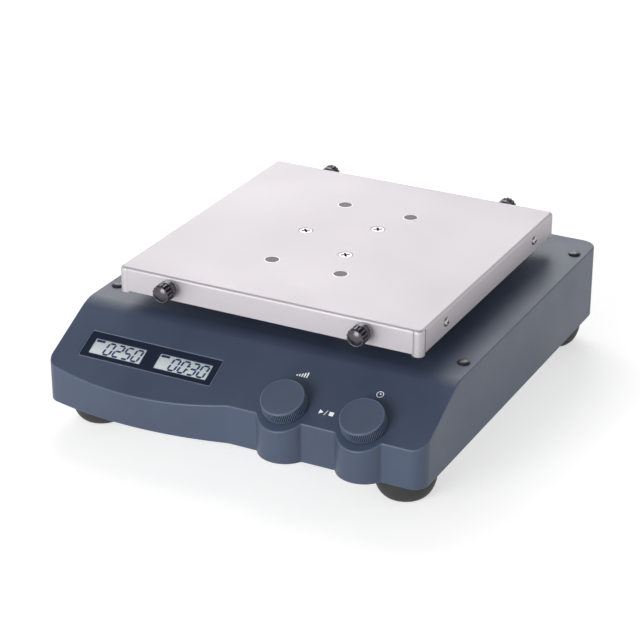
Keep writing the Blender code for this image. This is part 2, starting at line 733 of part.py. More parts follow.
def make_deck_caps():
    seat = DECK_Z + GAP
    top = seat + CAP_HEIGHT
    profile = [
        (0, top),
        (CAP_RADIUS - CAP_EDGE, top),
        (CAP_RADIUS, top - CAP_EDGE),
        (CAP_RADIUS, seat),
        (CAP_STEM_RADIUS, seat),
        (CAP_STEM_RADIUS, DECK_Z - CAP_STEM_LENGTH),
        (0, DECK_Z - CAP_STEM_LENGTH),
    ]
    for name, spot in zip(CORNER_NAMES, CAP_SPOTS):
        finish(turned("deck_cap_" + name, profile, spot, INNER_STEPS), CAP_BLUE)


# Display, knobs and boards
def make_display():
    place = panel_place(DISPLAY_X, DISPLAY_DOWN)
    low = GAP - DISPLAY_RECESS
    outline = rectangle(DISPLAY_WIDTH - 2 * GAP, DISPLAY_HEIGHT - 2 * GAP, DISPLAY_CORNER)
    window = flat_outline("display_window", outline, low, low + WINDOW_THICKNESS, place)
    for side, name in ((-1, "speed_lcd"), (1, "time_lcd")):
        spot = panel_place(DISPLAY_X + side * LCD_PITCH / 2, LCD_DOWN)
        face = rectangle(LCD_WIDTH, LCD_HEIGHT, 0)
        opening = rectangle(LCD_WIDTH + 2 * GAP, LCD_HEIGHT + 2 * GAP, 0)
        cut(window, flat_outline(name + "_opening", opening, low - OVERRUN, OVERRUN, spot))
        shoulder = low - GAP
        glass_top = low + WINDOW_THICKNESS - LCD_SINK
        back = rectangle(LCD_WIDTH + 2 * LCD_FACE_MARGIN, LCD_HEIGHT + 2 * LCD_FACE_MARGIN, 0)
        module = flat_outline(name, back, GAP - BOARD_DEPTH, shoulder, spot)
        join(module, flat_outline(name + "_glass", face, shoulder - GAP, glass_top, spot))
        finish(module, LCD_GREY)
    finish(window, WINDOW_BLACK)


def rib_outline(radius, depth=0):
    """A circle with small pointed ribs of this depth."""
    points = []
    for i in range(2 * KNOB_RIBS):
        angle = i * math.pi / KNOB_RIBS
        reach = radius - depth * (i % 2)
        points.append((reach * math.cos(angle), reach * math.sin(angle)))
    return points


def make_knob(name, x):
    place = panel_place(x, KNOB_DOWN)
    top = KNOB_LIFT + KNOB_HEIGHT
    rim = KNOB_TOP_RADIUS - KNOB_RIB_DEPTH
    knob = stacked(name + "_knob", [
        (rib_outline(KNOB_BASE_RADIUS, KNOB_RIB_DEPTH), KNOB_LIFT),
        (rib_outline(KNOB_TOP_RADIUS, KNOB_RIB_DEPTH), top - KNOB_RIM_ROUND),
        (rib_outline(rim - KNOB_RIM_ROUND), top),
    ], place)
    well = rod(name + "_knob_well", KNOB_WELL_RADIUS, -OVERRUN, KNOB_LIFT + KNOB_WELL_DEPTH,
               steps=SMALL_STEPS, place=place)
    stem_bottom = KNOB_LIFT - BOARD_DEPTH + PUSH_FOOT_THICKNESS + 2 * GAP
    stem = rod(name + "_knob_stem", KNOB_STEM_RADIUS, stem_bottom, KNOB_LIFT + KNOB_WELL_DEPTH + GAP,
               steps=TINY_STEPS, place=place)
    bore = rod(name + "_knob_bore", KNOB_STEM_BORE, stem_bottom - OVERRUN, KNOB_LIFT + KNOB_WELL_DEPTH,
               steps=TINY_STEPS, place=place)
    cut(knob, well)
    join(knob, stem)
    cut(knob, bore)
    finish(knob, KNOB_BLUE)
    foot_top = stem_bottom - GAP
    rod_top = KNOB_LIFT + KNOB_WELL_DEPTH - GAP
    finish(turned(name + "_push_rod", [
        (0, rod_top),
        (PUSH_ROD_RADIUS, rod_top),
        (PUSH_ROD_RADIUS, foot_top),
        (PUSH_FOOT_RADIUS, foot_top),
        (PUSH_FOOT_RADIUS, foot_top - PUSH_FOOT_THICKNESS),
        (0, foot_top - PUSH_FOOT_THICKNESS),
    ], steps=TINY_STEPS, place=place), STEEL_BRIGHT)


def make_encoder(name, x):
    place = panel_place(x, KNOB_DOWN)
    half = ENCODER_SIDE / 2
    low, high = GAP - BOARD_DEPTH, -HOUSING_WALL - GAP
    body = box(name + "_encoder", (-half, -half, low), (half, half, high), place)
    join(body, rod(name + "_bushing", ENCODER_BUSHING_RADIUS, low + GAP, ENCODER_BUSHING_HEIGHT,
                   steps=INNER_STEPS, place=place))
    cut(body, rod(name + "_encoder_bore", KNOB_STEM_RADIUS + GAP, low - OVERRUN,
                  ENCODER_BUSHING_HEIGHT + OVERRUN, steps=TINY_STEPS, place=place))
    finish(body, STEEL_BRIGHT)


def make_control_board():
    middle = (BOARD_RIGHT - BOARD_LEFT) / 2
    down = (BOARD_TOP_DOWN + BOARD_BOTTOM_DOWN) / 2
    place = panel_place(middle, down)
    outline = rectangle(BOARD_LEFT + BOARD_RIGHT, BOARD_BOTTOM_DOWN - BOARD_TOP_DOWN, DISPLAY_CORNER)
    finish(flat_outline("control_board", outline, -BOARD_UNDER, -BOARD_DEPTH, place), BOARD_GREEN)


def make_power_board():
    floor = BASE_TOP_Z + GAP
    board_z = floor + STANDOFF_HEIGHT
    board_top = board_z + BOARD_THICKNESS
    y = REAR_Y - POWER_BOARD_FROM_REAR
    half_x, half_y = POWER_BOARD_LENGTH / 2, POWER_BOARD_WIDTH / 2
    board = box("power_board", (POWER_BOARD_X - half_x, y - half_y, board_z),
                (POWER_BOARD_X + half_x, y + half_y, board_top))
    for i in (-1, 1):
        for j in (-1, 1):
            spot = (POWER_BOARD_X + i * (half_x - STANDOFF_RADIUS), y + j * (half_y - STANDOFF_RADIUS))
            join(board, rod("standoff", STANDOFF_RADIUS - GAP, floor, board_z + GAP, spot, TINY_STEPS))
    half = TRANSFORMER_SIDE / 2
    left = POWER_BOARD_X - half_x / 2
    join(board, box("transformer", (left - half, y - half, board_top - GAP),
                    (left + half, y + half, board_top + TRANSFORMER_HEIGHT)))
    for number in range(2):
        spot = (POWER_BOARD_X + half_x / 4 + number * CAPACITOR_SPACING, y)
        join(board, rod("capacitor", CAPACITOR_RADIUS, board_top - GAP, board_top + CAPACITOR_HEIGHT,
                        spot, TINY_STEPS))
    finish(board, BOARD_GREEN)


# Mains inlet and power switch
def make_inlet():
    place = rear_place(INLET_X, HOUSING_LIFT + INLET_UP)
    body = flat_outline("power_inlet", rectangle(INLET_BODY_WIDTH, INLET_BODY_HEIGHT, 0),
                        -INLET_BODY_DEPTH, GAP, place)
    rim = rectangle(INLET_RIM_WIDTH, INLET_RIM_HEIGHT, HOUSING_EDGE_ROUND)
    join(body, flat_outline("inlet_rim", rim, GAP / 2, INLET_RIM_THICKNESS, place))
    x, y = SOCKET_WIDTH / 2, SOCKET_HEIGHT / 2
    socket = [
        (SOCKET_OFFSET - x, -y), (SOCKET_OFFSET + x, -y),
        (SOCKET_OFFSET + x, y - SOCKET_CHAMFER), (SOCKET_OFFSET + x - SOCKET_CHAMFER, y),
        (SOCKET_OFFSET - x + SOCKET_CHAMFER, y), (SOCKET_OFFSET - x, y - SOCKET_CHAMFER),
    ]
    cut(body, flat_outline("socket", socket, -SOCKET_DEPTH, OVERRUN, place))
    for step in (-1, 0, 1):
        centre_x = SOCKET_OFFSET + step * BLADE_PITCH
        centre_y = BLADE_EARTH_OFFSET / 2 if step == 0 else -BLADE_EARTH_OFFSET / 2
        low = (centre_x - BLADE_WIDTH / 2, centre_y - BLADE_HEIGHT / 2, -SOCKET_DEPTH - GAP)
        high = (centre_x + BLADE_WIDTH / 2, centre_y + BLADE_HEIGHT / 2, BLADE_LENGTH - SOCKET_DEPTH)
        join(body, box("blade", low, high, place))
    well = rectangle(ROCKER_WIDTH + 2 * LOOSE_GAP, ROCKER_HEIGHT + 2 * ROCKER_GAP, 0, (-SWITCH_OFFSET, 0))
    cut(body, flat_outline("switch_well", well, -ROCKER_DEPTH - OVERRUN, OVERRUN, place))
    finish(body, BLACK_PLASTIC)


def rocker_pivot():
    """The rocker's axis: along X, at half its depth behind the rim."""
    return rear_place(INLET_X, HOUSING_LIFT + INLET_UP) @ Vector((-SWITCH_OFFSET, 0, -ROCKER_DEPTH / 2))


def make_rocker():
    """A rocker with a hollow face, resting at off, tilted about its pivot."""
    pivot = bpy.data.objects.new("rocker_pivot", None)
    PARTS.objects.link(pivot)
    pivot.matrix_world = Matrix.Translation(rocker_pivot()) @ Matrix.Rotation(-ROCKER_TILT, 4, "X")
    half = ROCKER_HEIGHT / 2
    bend = math.asin(half / ROCKER_RADIUS)
    middle = (0, ROCKER_FACE + ROCKER_RADIUS * math.cos(bend))
    hollow = arc(middle, ROCKER_RADIUS, -math.pi / 2 - bend, -math.pi / 2 + bend, 8)
    outline = [*hollow, (half, 0), (half / 2, -ROCKER_DEPTH / 2), (-half / 2, -ROCKER_DEPTH / 2), (-half, 0)]
    side = Matrix(((0, 0, 1, 0), (0, 1, 0, 0), (-1, 0, 0, 0), (0, 0, 0, 1)))
    rocker = flat_outline("power_rocker", outline[::-1], -ROCKER_WIDTH / 2, ROCKER_WIDTH / 2)
    rocker.parent = pivot
    rocker.matrix_parent_inverse = Matrix.Identity(4)
    rocker.matrix_basis = side
    finish(rocker, SWITCH_BLACK)


# Platform tray and what it carries
def make_tray():
    low = FLANGE_Z - CORNER_DROP
    bm = bmesh.new()
    outline = rectangle(PLATE_SIDE, PLATE_SIDE, PLATE_CORNER, (0, PLATE_Y))
    rim = [bm.verts.new((x, y, PLATE_Z)) for x, y in outline]
    top = bm.faces.new(rim)
    skirt = bmesh.ops.extrude_edge_only(bm, edges=list(top.edges))
    fresh = [item for item in skirt["geom"] if isinstance(item, bmesh.types.BMVert)]
    bmesh.ops.translate(bm, vec=(0, 0, low - PLATE_Z), verts=fresh)
    bmesh.ops.recalc_face_normals(bm, faces=bm.faces)
    if top.normal.z < 0:
        bmesh.ops.reverse_faces(bm, faces=bm.faces)
    tray = object_from("platform_tray", bm)
    soften(tray, PLATE_BEND, segments=3)
    wall = tray.modifiers.new("sheet", "SOLIDIFY")
    wall.thickness = PLATE_SHEET
    wall.offset = -1
    wall.use_even_offset = True
    cut(tray, *flange_trims())
    join(tray, *weld_nuts())
    cut(tray, *tray_holes())
    return finish(tray, BRUSHED_PLATE)


def flange_trims():
    """Four blocks that shorten the flanges between the corner columns."""
    half = PLATE_SIDE / 2
    inner = half - PLATE_CORNER - CORNER_MARGIN
    low, high = FLANGE_Z - CORNER_DROP - OVERRUN, FLANGE_Z
    outer = half + OVERRUN
    edge = half - PLATE_SHEET - OVERRUN
    return [
        box("trim_front", (-inner, PLATE_Y - outer, low), (inner, PLATE_Y - edge, high)),
        box("trim_rear", (-inner, PLATE_Y + edge, low), (inner, PLATE_Y + outer, high)),
        box("trim_left", (-outer, PLATE_Y - inner, low), (-edge, PLATE_Y + inner, high)),
        box("trim_right", (edge, PLATE_Y - inner, low), (outer, PLATE_Y + inner, high)),
    ]


def thumb_places():
    """A frame on each flange hole, Z pointing out of the flange."""
    z = PLATE_Z - THUMB_BELOW_TOP
    half = PLATE_SIDE / 2
    front = Matrix.Rotation(math.pi / 2, 4, "X")
    rear = Matrix.Rotation(-math.pi / 2, 4, "X")
    places = {}
    for name, i, y, turn in (
        ("front_left", -1, -half, front), ("front_right", 1, -half, front),
        ("rear_left", -1, half, rear), ("rear_right", 1, half, rear),
    ):
        places[name] = Matrix.Translation((i * THUMB_X, PLATE_Y + y, z)) @ turn
    return places


def side_screw_places():
    z = PLATE_Z - SIDE_SCREW_BELOW_TOP
    half = PLATE_SIDE / 2
    places = {}
    for side, i in (("left", -1), ("right", 1)):
        for end, j in (("front", -1), ("rear", 1)):
            spot = (i * half, PLATE_Y + j * SIDE_SCREW_OUT, z)
            places[f"{end}_{side}"] = Matrix.Translation(spot) @ Matrix.Rotation(i * math.pi / 2, 4, "Y")
    return places


def weld_nuts():
    nuts = []
    for name, place in thumb_places().items():
        nuts.append(rod("weld_nut_" + name, WELD_NUT_RADIUS, -PLATE_SHEET - WELD_NUT_HEIGHT,
                        GAP - PLATE_SHEET, steps=6, place=place))
    for name, place in side_screw_places().items():
        nuts.append(rod("side_nut_" + name, SIDE_NUT_RADIUS, -PLATE_SHEET - SIDE_NUT_HEIGHT,
                        GAP - PLATE_SHEET, steps=6, place=place))
    return nuts


def tray_holes():
    holes = []
    for spot in PLUG_SPOTS:
        at = (spot[0], PLATE_Y + spot[1])
        holes.append(rod("plug_hole", PLUG_RADIUS + GAP, SHEET_UNDER_Z - OVERRUN, PLATE_Z + OVERRUN,
                         at, INNER_STEPS))
    for spot in hub_screw_spots():
        wide = HUB_HEAD_RADIUS + GAP
        narrow = wide - PLATE_SHEET
        holes.append(turned("countersink", [
            (0, PLATE_Z + OVERRUN),
            (wide + OVERRUN, PLATE_Z + OVERRUN),
            (narrow - GAP, SHEET_UNDER_Z - GAP),
            (0, SHEET_UNDER_Z - GAP),
        ], spot, INNER_STEPS))
    for place in thumb_places().values():
        holes.append(rod("stud_hole", STUD_RADIUS + GAP, -PLATE_SHEET - WELD_NUT_HEIGHT - OVERRUN, OVERRUN,
                         steps=TINY_STEPS, place=place))
    for place in side_screw_places().values():
        holes.append(rod("side_screw_hole", SIDE_SCREW_RADIUS + GAP,
                         -PLATE_SHEET - SIDE_NUT_HEIGHT - OVERRUN, OVERRUN, steps=TINY_STEPS, place=place))
    return holes


def hub_screw_spots():
    return [
        (HUB_SCREW_CIRCLE * math.cos(angle), PLATE_Y + HUB_SCREW_CIRCLE * math.sin(angle))
        for angle in IDLER_ANGLES
    ]


def cross_slot(name, top, reach, place):
    half = CROSS_SLOT_WIDTH / 2
    deep = top - CROSS_SLOT_DEPTH
    return (
        box(name + "_slot_x", (-reach, -half, deep), (reach, half, top + OVERRUN), place),
        box(name + "_slot_y", (-half, -reach, deep), (half, reach, top + OVERRUN), place),
    )


def make_hub_screws():
    cone_depth = HUB_HEAD_RADIUS - HUB_SCREW_RADIUS
    profile = [
        (0, 0),
        (HUB_HEAD_RADIUS, 0),
        (HUB_SCREW_RADIUS, -cone_depth),
        (HUB_SCREW_RADIUS, -HUB_SCREW_LENGTH),
        (0, -HUB_SCREW_LENGTH),
    ]
    for number, spot in enumerate(hub_screw_spots(), 1):
        name = f"hub_screw_{number}"
        place = Matrix.Translation((*spot, PLATE_Z))
        screw = turned(name, profile, steps=INNER_STEPS, place=place)
        cut(screw, *cross_slot(name, 0, HUB_HEAD_RADIUS / 2, place))
        finish(screw, STEEL_BRIGHT)


def make_plate_plugs():
    top = PLATE_Z - PLUG_SINK
    lip_top = SHEET_UNDER_Z - GAP
    profile = [
        (0, top),
        (PLUG_RADIUS, top),
        (PLUG_RADIUS, lip_top),
        (PLUG_RADIUS + PLUG_LIP, lip_top),
        (PLUG_RADIUS + PLUG_LIP, lip_top - PLUG_LIP_THICKNESS),
        (0, lip_top - PLUG_LIP_THICKNESS),
    ]
    for name, spot in zip(CORNER_NAMES, PLUG_SPOTS):
        at = (spot[0], PLATE_Y + spot[1])
        finish(turned("plate_plug_" + name, profile, at, INNER_STEPS), PLUG_GREY)


def make_thumb_screws():
    seat = GAP + LOCK_WASHER_THICKNESS + GAP
    grip_start = seat + THUMB_NECK_LENGTH + THUMB_COLLAR_LENGTH
    end = grip_start + THUMB_GRIP_LENGTH
    shoulder = seat + THUMB_NECK_LENGTH
    head = [
        (0, end),
        (THUMB_RADIUS - THUMB_EDGE, end),
        (THUMB_RADIUS, end - THUMB_EDGE),
        (THUMB_RADIUS, shoulder),
        (0, shoulder),
    ]
    stud = [
        (0, shoulder + GAP),
        (THUMB_NECK_RADIUS, shoulder + GAP),
        (THUMB_NECK_RADIUS, seat),
        (STUD_RADIUS, seat),
        (STUD_RADIUS, seat - STUD_LENGTH),
        (0, seat - STUD_LENGTH),
    ]
    washer = [
        (LOCK_WASHER_RADIUS, GAP + LOCK_WASHER_THICKNESS),
        (LOCK_WASHER_RADIUS, GAP),
        (STUD_RADIUS + GAP, GAP),
        (STUD_RADIUS + GAP, GAP + LOCK_WASHER_THICKNESS),
    ]
    for name, place in thumb_places().items():
        screw = turned("thumb_screw_" + name, head, steps=2 * THUMB_FLUTES, place=place)
        flute = math.tau / THUMB_FLUTES
        for number in range(THUMB_FLUTES):
            middle = THUMB_RADIUS + THUMB_FLUTE_DEPTH
            at = (middle * math.cos(number * flute), middle * math.sin(number * flute))
            cut(screw, rod("flute", 2 * THUMB_FLUTE_DEPTH, grip_start, end + OVERRUN, at,
                           THUMB_FLUTE_STEPS, place))
        join(screw, turned("stud_" + name, stud, steps=TINY_STEPS, place=place))
        finish(screw, BLACK_GLOSS)
        finish(turned("lock_washer_" + name, washer, steps=TINY_STEPS, closed=True, place=place),
               STEEL_BRIGHT)


def make_side_screws():
    top = GAP + SIDE_SCREW_HEAD_HEIGHT
    profile = [
        (0, top),
        (SIDE_SCREW_HEAD_RADIUS - CAP_EDGE, top),
        (SIDE_SCREW_HEAD_RADIUS, top - CAP_EDGE),
        (SIDE_SCREW_HEAD_RADIUS, GAP),
        (SIDE_SCREW_RADIUS, GAP),
        (SIDE_SCREW_RADIUS, GAP - SIDE_SCREW_LENGTH),
        (0, GAP - SIDE_SCREW_LENGTH),
    ]
    for name, place in side_screw_places().items():
        finish(turned("side_screw_" + name, profile, steps=TINY_STEPS, place=place), STEEL_BRIGHT)


# Carrier, cranks and bearings
def make_carrier():
    lobes = idler_spots(ORBIT_RADIUS)
    reach = IDLER_CIRCLE + CARRIER_LOBE_RADIUS / math.sin(math.radians(30.0))
    outline = rounded([
        (reach * math.cos(angle), PLATE_Y + reach * math.sin(angle), CARRIER_LOBE_RADIUS)
        for angle in IDLER_ANGLES
    ])
    carrier = flat_outline("platform_carrier", outline, CARRIER_Z, CARRIER_TOP_Z)
    join(carrier, rod("carrier_boss", CARRIER_BOSS_RADIUS, CARRIER_BOSS_Z, CARRIER_Z + GAP, (0, PLATE_Y),
                      SMALL_STEPS))
    for spot in lobes:
        join(carrier, rod("idler_boss", CARRIER_IDLER_BOSS_RADIUS, CARRIER_BOSS_Z, CARRIER_Z + GAP,
                          spot, TINY_STEPS))
    cut(carrier, rod("bearing_seat", PIN_BEARING_RADIUS + GAP, CARRIER_BOSS_Z - OVERRUN, CARRIER_Z,
                     (0, PLATE_Y), SMALL_STEPS))
    for spot in lobes:
        cut(carrier, rod("idler_pin_bore", IDLER_PIN_RADIUS + LOOSE_GAP, CARRIER_BOSS_Z - OVERRUN,
                         CARRIER_TOP_Z - CARRIER_THICKNESS / 2, spot, TINY_STEPS))
    for spot in hub_screw_spots():
        cut(carrier, turned("hub_thread", [
            (0, CARRIER_TOP_Z + OVERRUN),
            (HUB_HEAD_RADIUS + OVERRUN - GAP, CARRIER_TOP_Z + OVERRUN),
            (HUB_SCREW_RADIUS + GAP, CARRIER_TOP_Z + HUB_SCREW_RADIUS + PLATE_SHEET - HUB_HEAD_RADIUS),
            (HUB_SCREW_RADIUS + GAP, CARRIER_Z - OVERRUN),
            (0, CARRIER_Z - OVERRUN),
        ], spot, TINY_STEPS))
    for x, y in PLUG_SPOTS:
        radius = PLUG_RADIUS + PLUG_LIP + CARRIER_PLUG_CLEARANCE
        cut(carrier, rod("plug_clearance", radius, CARRIER_Z - OVERRUN, CARRIER_TOP_Z + OVERRUN,
                         (x, PLATE_Y + y), TINY_STEPS))
    finish(carrier, CAST_ALUMINIUM)


def make_pin_bearing():
    low, high = CARRIER_BOSS_Z + GAP, CARRIER_Z - GAP
    inner = CRANK_PIN_RADIUS + RUNNING_GAP
    finish(turned("pin_bearing", [
        (PIN_BEARING_RADIUS, high), (PIN_BEARING_RADIUS, low), (inner, low), (inner, high),
    ], (0, PLATE_Y), SMALL_STEPS, closed=True), STEEL_BRIGHT)


def crank_profile(shaft, head, bottom):
    """A straight journal under a round head, before its offset pin is added."""
    return [
        (0, CRANK_PIN_Z), (head, CRANK_PIN_Z), (head, CRANK_HEAD_Z), (shaft, CRANK_HEAD_Z),
        (shaft, bottom), (0, bottom),
    ]


def make_cranks():
    pin_top = min(CRANK_PIN_Z + CRANK_PIN_LENGTH, CARRIER_Z - GAP)
    bottom = CHASSIS_UNDER_Z - MAIN_HOUSING_DROP + SHAFT_END_MARGIN
    shaft = turned("crank_shaft", crank_profile(SHAFT_RADIUS, CRANK_HEAD_RADIUS, bottom), (0, SHAFT_Y),
                   SMALL_STEPS)
    join(shaft, rod("crank_pin", CRANK_PIN_RADIUS, CRANK_PIN_Z - GAP, pin_top, (0, PLATE_Y), SMALL_STEPS))
    finish(shaft, STEEL_BRIGHT)
    bottom = CHASSIS_UNDER_Z - IDLER_HOUSING_DROP + SHAFT_END_MARGIN
    profile = crank_profile(IDLER_SHAFT_RADIUS, IDLER_HEAD_RADIUS, bottom)
    for number, (spot, pin) in enumerate(zip(idler_spots(), idler_spots(ORBIT_RADIUS)), 1):
        idler = turned(f"idler_crank_{number}", profile, spot, INNER_STEPS)
        join(idler, rod("idler_pin", IDLER_PIN_RADIUS, CRANK_PIN_Z - GAP, pin_top, pin, TINY_STEPS))
        finish(idler, STEEL_BRIGHT)


def bearing_profile(body, flange, bore, bottom):
    seat = CHASSIS_TOP_Z + GAP
    return [
        (flange, MAIN_FLANGE_TOP_Z), (flange, seat), (body, seat), (body, bottom),
        (bore, bottom), (bore, MAIN_FLANGE_TOP_Z),
    ]


def make_bearings():
    profile = bearing_profile(MAIN_HOUSING_RADIUS, MAIN_FLANGE_RADIUS, SHAFT_RADIUS + RUNNING_GAP,
                              CHASSIS_UNDER_Z - MAIN_HOUSING_DROP)
    finish(turned("main_bearing", profile, (0, SHAFT_Y), SMALL_STEPS, closed=True), CAST_ALUMINIUM)
    profile = bearing_profile(IDLER_HOUSING_RADIUS, IDLER_FLANGE_RADIUS, IDLER_SHAFT_RADIUS + RUNNING_GAP,
                              CHASSIS_UNDER_Z - IDLER_HOUSING_DROP)
    for number, spot in enumerate(idler_spots(), 1):
        finish(turned(f"idler_bearing_{number}", profile, spot, INNER_STEPS, closed=True), CAST_ALUMINIUM)


def make_chassis():
    """A folded bracket: a bridge on two legs with feet turned outwards."""
    foot = CHASSIS_FOOT_X
    half = foot - CHASSIS_FOOT
    low, high = BASE_TOP_Z + GAP, CHASSIS_TOP_Z
    bend = 2 * CHASSIS_THICKNESS
    thick = CHASSIS_THICKNESS
    outer = [
        (-foot, low, 0), (-half + thick, low, 0), (-half + thick, high - thick, bend - thick),
        (half - thick, high - thick, bend - thick), (half - thick, low, 0), (foot, low, 0),
        (foot, low + thick, 0), (half, low + thick, 0), (half, high, bend), (-half, high, bend),
        (-half, low + thick, 0), (-foot, low + thick, 0),
    ]
    upright = Matrix(((1, 0, 0, 0), (0, 0, -1, 0), (0, 1, 0, 0), (0, 0, 0, 1)))
    place = Matrix.Translation((0, PLATE_Y, 0)) @ upright
    chassis = flat_outline("chassis", rounded(outer), -CHASSIS_LENGTH / 2, CHASSIS_LENGTH / 2, place)
    low, high = CHASSIS_UNDER_Z - OVERRUN, CHASSIS_TOP_Z + OVERRUN
    cut(chassis, rod("main_seat", MAIN_HOUSING_RADIUS + GAP, low, high, (0, SHAFT_Y), SMALL_STEPS))
    for spot in idler_spots():
        cut(chassis, rod("idler_seat", IDLER_HOUSING_RADIUS + GAP, low, high, spot, INNER_STEPS))
    cut(chassis, rod("motor_hole", MOTOR_PULLEY_RADIUS / 2, low, high, (MOTOR_X, MOTOR_Y), INNER_STEPS))
    finish(chassis, STEEL_DARK)


# Belt drive
def make_pulleys():
    hub = SHAFT_RADIUS + GAP
    rim = DRIVEN_RADIUS + PULLEY_RIM
    low, high = PULLEY_Z + PULLEY_RIM_THICKNESS, PULLEY_TOP_Z - PULLEY_RIM_THICKNESS
    finish(turned("driven_pulley", [
        (rim, PULLEY_TOP_Z), (rim, high), (DRIVEN_RADIUS, high), (DRIVEN_RADIUS, low), (rim, low),
        (rim, PULLEY_Z), (PULLEY_HUB_RADIUS, PULLEY_Z), (PULLEY_HUB_RADIUS, MAIN_FLANGE_TOP_Z + GAP),
        (hub, MAIN_FLANGE_TOP_Z + GAP), (hub, PULLEY_TOP_Z),
    ], (0, SHAFT_Y), INNER_STEPS, closed=True), BLACK_PLASTIC)
    motor_rim = MOTOR_PULLEY_RADIUS + PULLEY_RIM
    finish(turned("motor_pulley", [
        (0, PULLEY_TOP_Z), (motor_rim, PULLEY_TOP_Z), (motor_rim, high), (MOTOR_PULLEY_RADIUS, high),
        (MOTOR_PULLEY_RADIUS, low), (motor_rim, low), (motor_rim, PULLEY_Z),
        (MOTOR_SHAFT_RADIUS, PULLEY_Z), (MOTOR_SHAFT_RADIUS, CHASSIS_UNDER_Z - MOTOR_SHAFT_DEPTH),
        (0, CHASSIS_UNDER_Z - MOTOR_SHAFT_DEPTH),
    ], (MOTOR_X, MOTOR_Y), INNER_STEPS), STEEL_BRIGHT)


def belt_outline(gap):
    """The loop round both pulleys: two arcs joined by the tangents, in the frame of the drive line."""
    big, small = DRIVEN_RADIUS + gap, MOTOR_PULLEY_RADIUS + gap
    lean = math.acos((big - small) / MOTOR_CIRCLE)
    points = arc((MOTOR_CIRCLE, 0), small, -lean, lean, TINY_STEPS)
    points += arc((0, 0), big, lean, math.tau - lean, SMALL_STEPS)
    return points


def make_belt():
    place = Matrix.Translation((0, SHAFT_Y, 0)) @ Matrix.Rotation(MOTOR_ANGLE, 4, "Z")
    belt = flat_outline("drive_belt", belt_outline(GAP + BELT_THICKNESS), BELT_Z, BELT_Z + BELT_WIDTH,
                        place, [belt_outline(GAP)])
    finish(belt, RUBBER)


def make_counterweight():
    half = math.radians(COUNTERWEIGHT_ARC_DEG) / 2
    hub = SHAFT_RADIUS + GAP
    down = -math.pi / 2
    outline = arc((0, SHAFT_Y), COUNTERWEIGHT_RADIUS, down - half, down + half, SMALL_STEPS)
    outline += arc((0, SHAFT_Y), PULLEY_HUB_RADIUS, down + half, down - half + math.tau, TINY_STEPS)
    weight = flat_outline("counterweight", outline, COUNTERWEIGHT_Z,
                          COUNTERWEIGHT_Z + COUNTERWEIGHT_THICKNESS)
    cut(weight, rod("counterweight_bore", hub, COUNTERWEIGHT_Z - OVERRUN,
                    COUNTERWEIGHT_Z + COUNTERWEIGHT_THICKNESS + OVERRUN, (0, SHAFT_Y), SMALL_STEPS))
    finish(weight, STEEL_DARK)


def make_motor():
    top = CHASSIS_UNDER_Z - GAP
    spot = (MOTOR_X, MOTOR_Y)
    motor = rod("motor", MOTOR_RADIUS, top - MOTOR_HEIGHT, top, spot, INNER_STEPS)
    soften(motor, THUMB_EDGE)
    cut(motor, rod("motor_bore", MOTOR_SHAFT_RADIUS + GAP, top - MOTOR_SHAFT_DEPTH - GAP, top + OVERRUN,
                   spot, TINY_STEPS))
    finish(motor, STEEL_BRIGHT)


clear_scene()
PARTS = new_collection("orbital_shaker")
TOOLS = new_collection("cutters")

SHELL_BLUE = material("housing_blue_grey", (0.062, 0.088, 0.135), 0.48)
CAP_BLUE = material("deck_cap_grey", (0.06, 0.07, 0.09), 0.5)
KNOB_BLUE = material("knob_blue_grey", (0.065, 0.092, 0.135), 0.45)
WINDOW_BLACK = material("display_window_dark", (0.012, 0.017, 0.026), 0.15)
LCD_GREY = material("lcd_pale_grey", (0.62, 0.62, 0.60), 0.3)
BRUSHED_PLATE = material("brushed_platform_steel", (0.66, 0.65, 0.65), 0.38, 1.0)
PLUG_GREY = material("plug_grey", (0.25, 0.24, 0.25), 0.6)
STEEL_BRIGHT = material("bright_steel", (0.6, 0.6, 0.6), 0.3, 1.0)
STEEL_DARK = material("plated_steel", (0.32, 0.33, 0.34), 0.45, 1.0)
CAST_ALUMINIUM = material("cast_aluminium", (0.5, 0.5, 0.51), 0.5, 1.0)
BLACK_GLOSS = material("thumb_screw_black", (0.02, 0.02, 0.022), 0.25)
BLACK_PLASTIC = material("inlet_black", (0.025, 0.025, 0.027), 0.45)
SWITCH_BLACK = material("rocker_black", (0.03, 0.03, 0.032), 0.35)
RUBBER = material("rubber_dark", (0.03, 0.03, 0.03), 0.75)
BOARD_GREEN = material("board_green", (0.02, 0.12, 0.05), 0.5)

make_housing()
make_base_plate()
make_feet()
make_deck_caps()
make_display()
for knob_name, knob_x in zip(("speed", "time"), KNOB_X):
    make_knob(knob_name, knob_x)
    make_encoder(knob_name, knob_x)
make_control_board()
make_power_board()
make_inlet()
make_rocker()
make_tray()
make_hub_screws()
make_plate_plugs()
make_thumb_screws()
make_side_screws()
make_carrier()
make_pin_bearing()
make_cranks()
make_bearings()
make_chassis()
make_pulleys()
make_belt()
make_counterweight()
make_motor()
carry("crank_pivot", (0, SHAFT_Y, 0), [PARTS.objects["counterweight"]])
on_platform = ("platform_", "plate_plug_", "hub_screw_", "side_screw_", "pin_bearing")
carry("platform_pivot", (0, PLATE_Y, 0), [obj for obj in PARTS.objects if obj.name.startswith(on_platform)])
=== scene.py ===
"""Looks of a digital orbital shaker: a folded steel platform over a moulded housing.

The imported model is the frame. The pieces made here stand for its plainer solids, in metres, +Z up.
"""

import json
import math

import bmesh
import bpy
from mathutils import Matrix, Vector


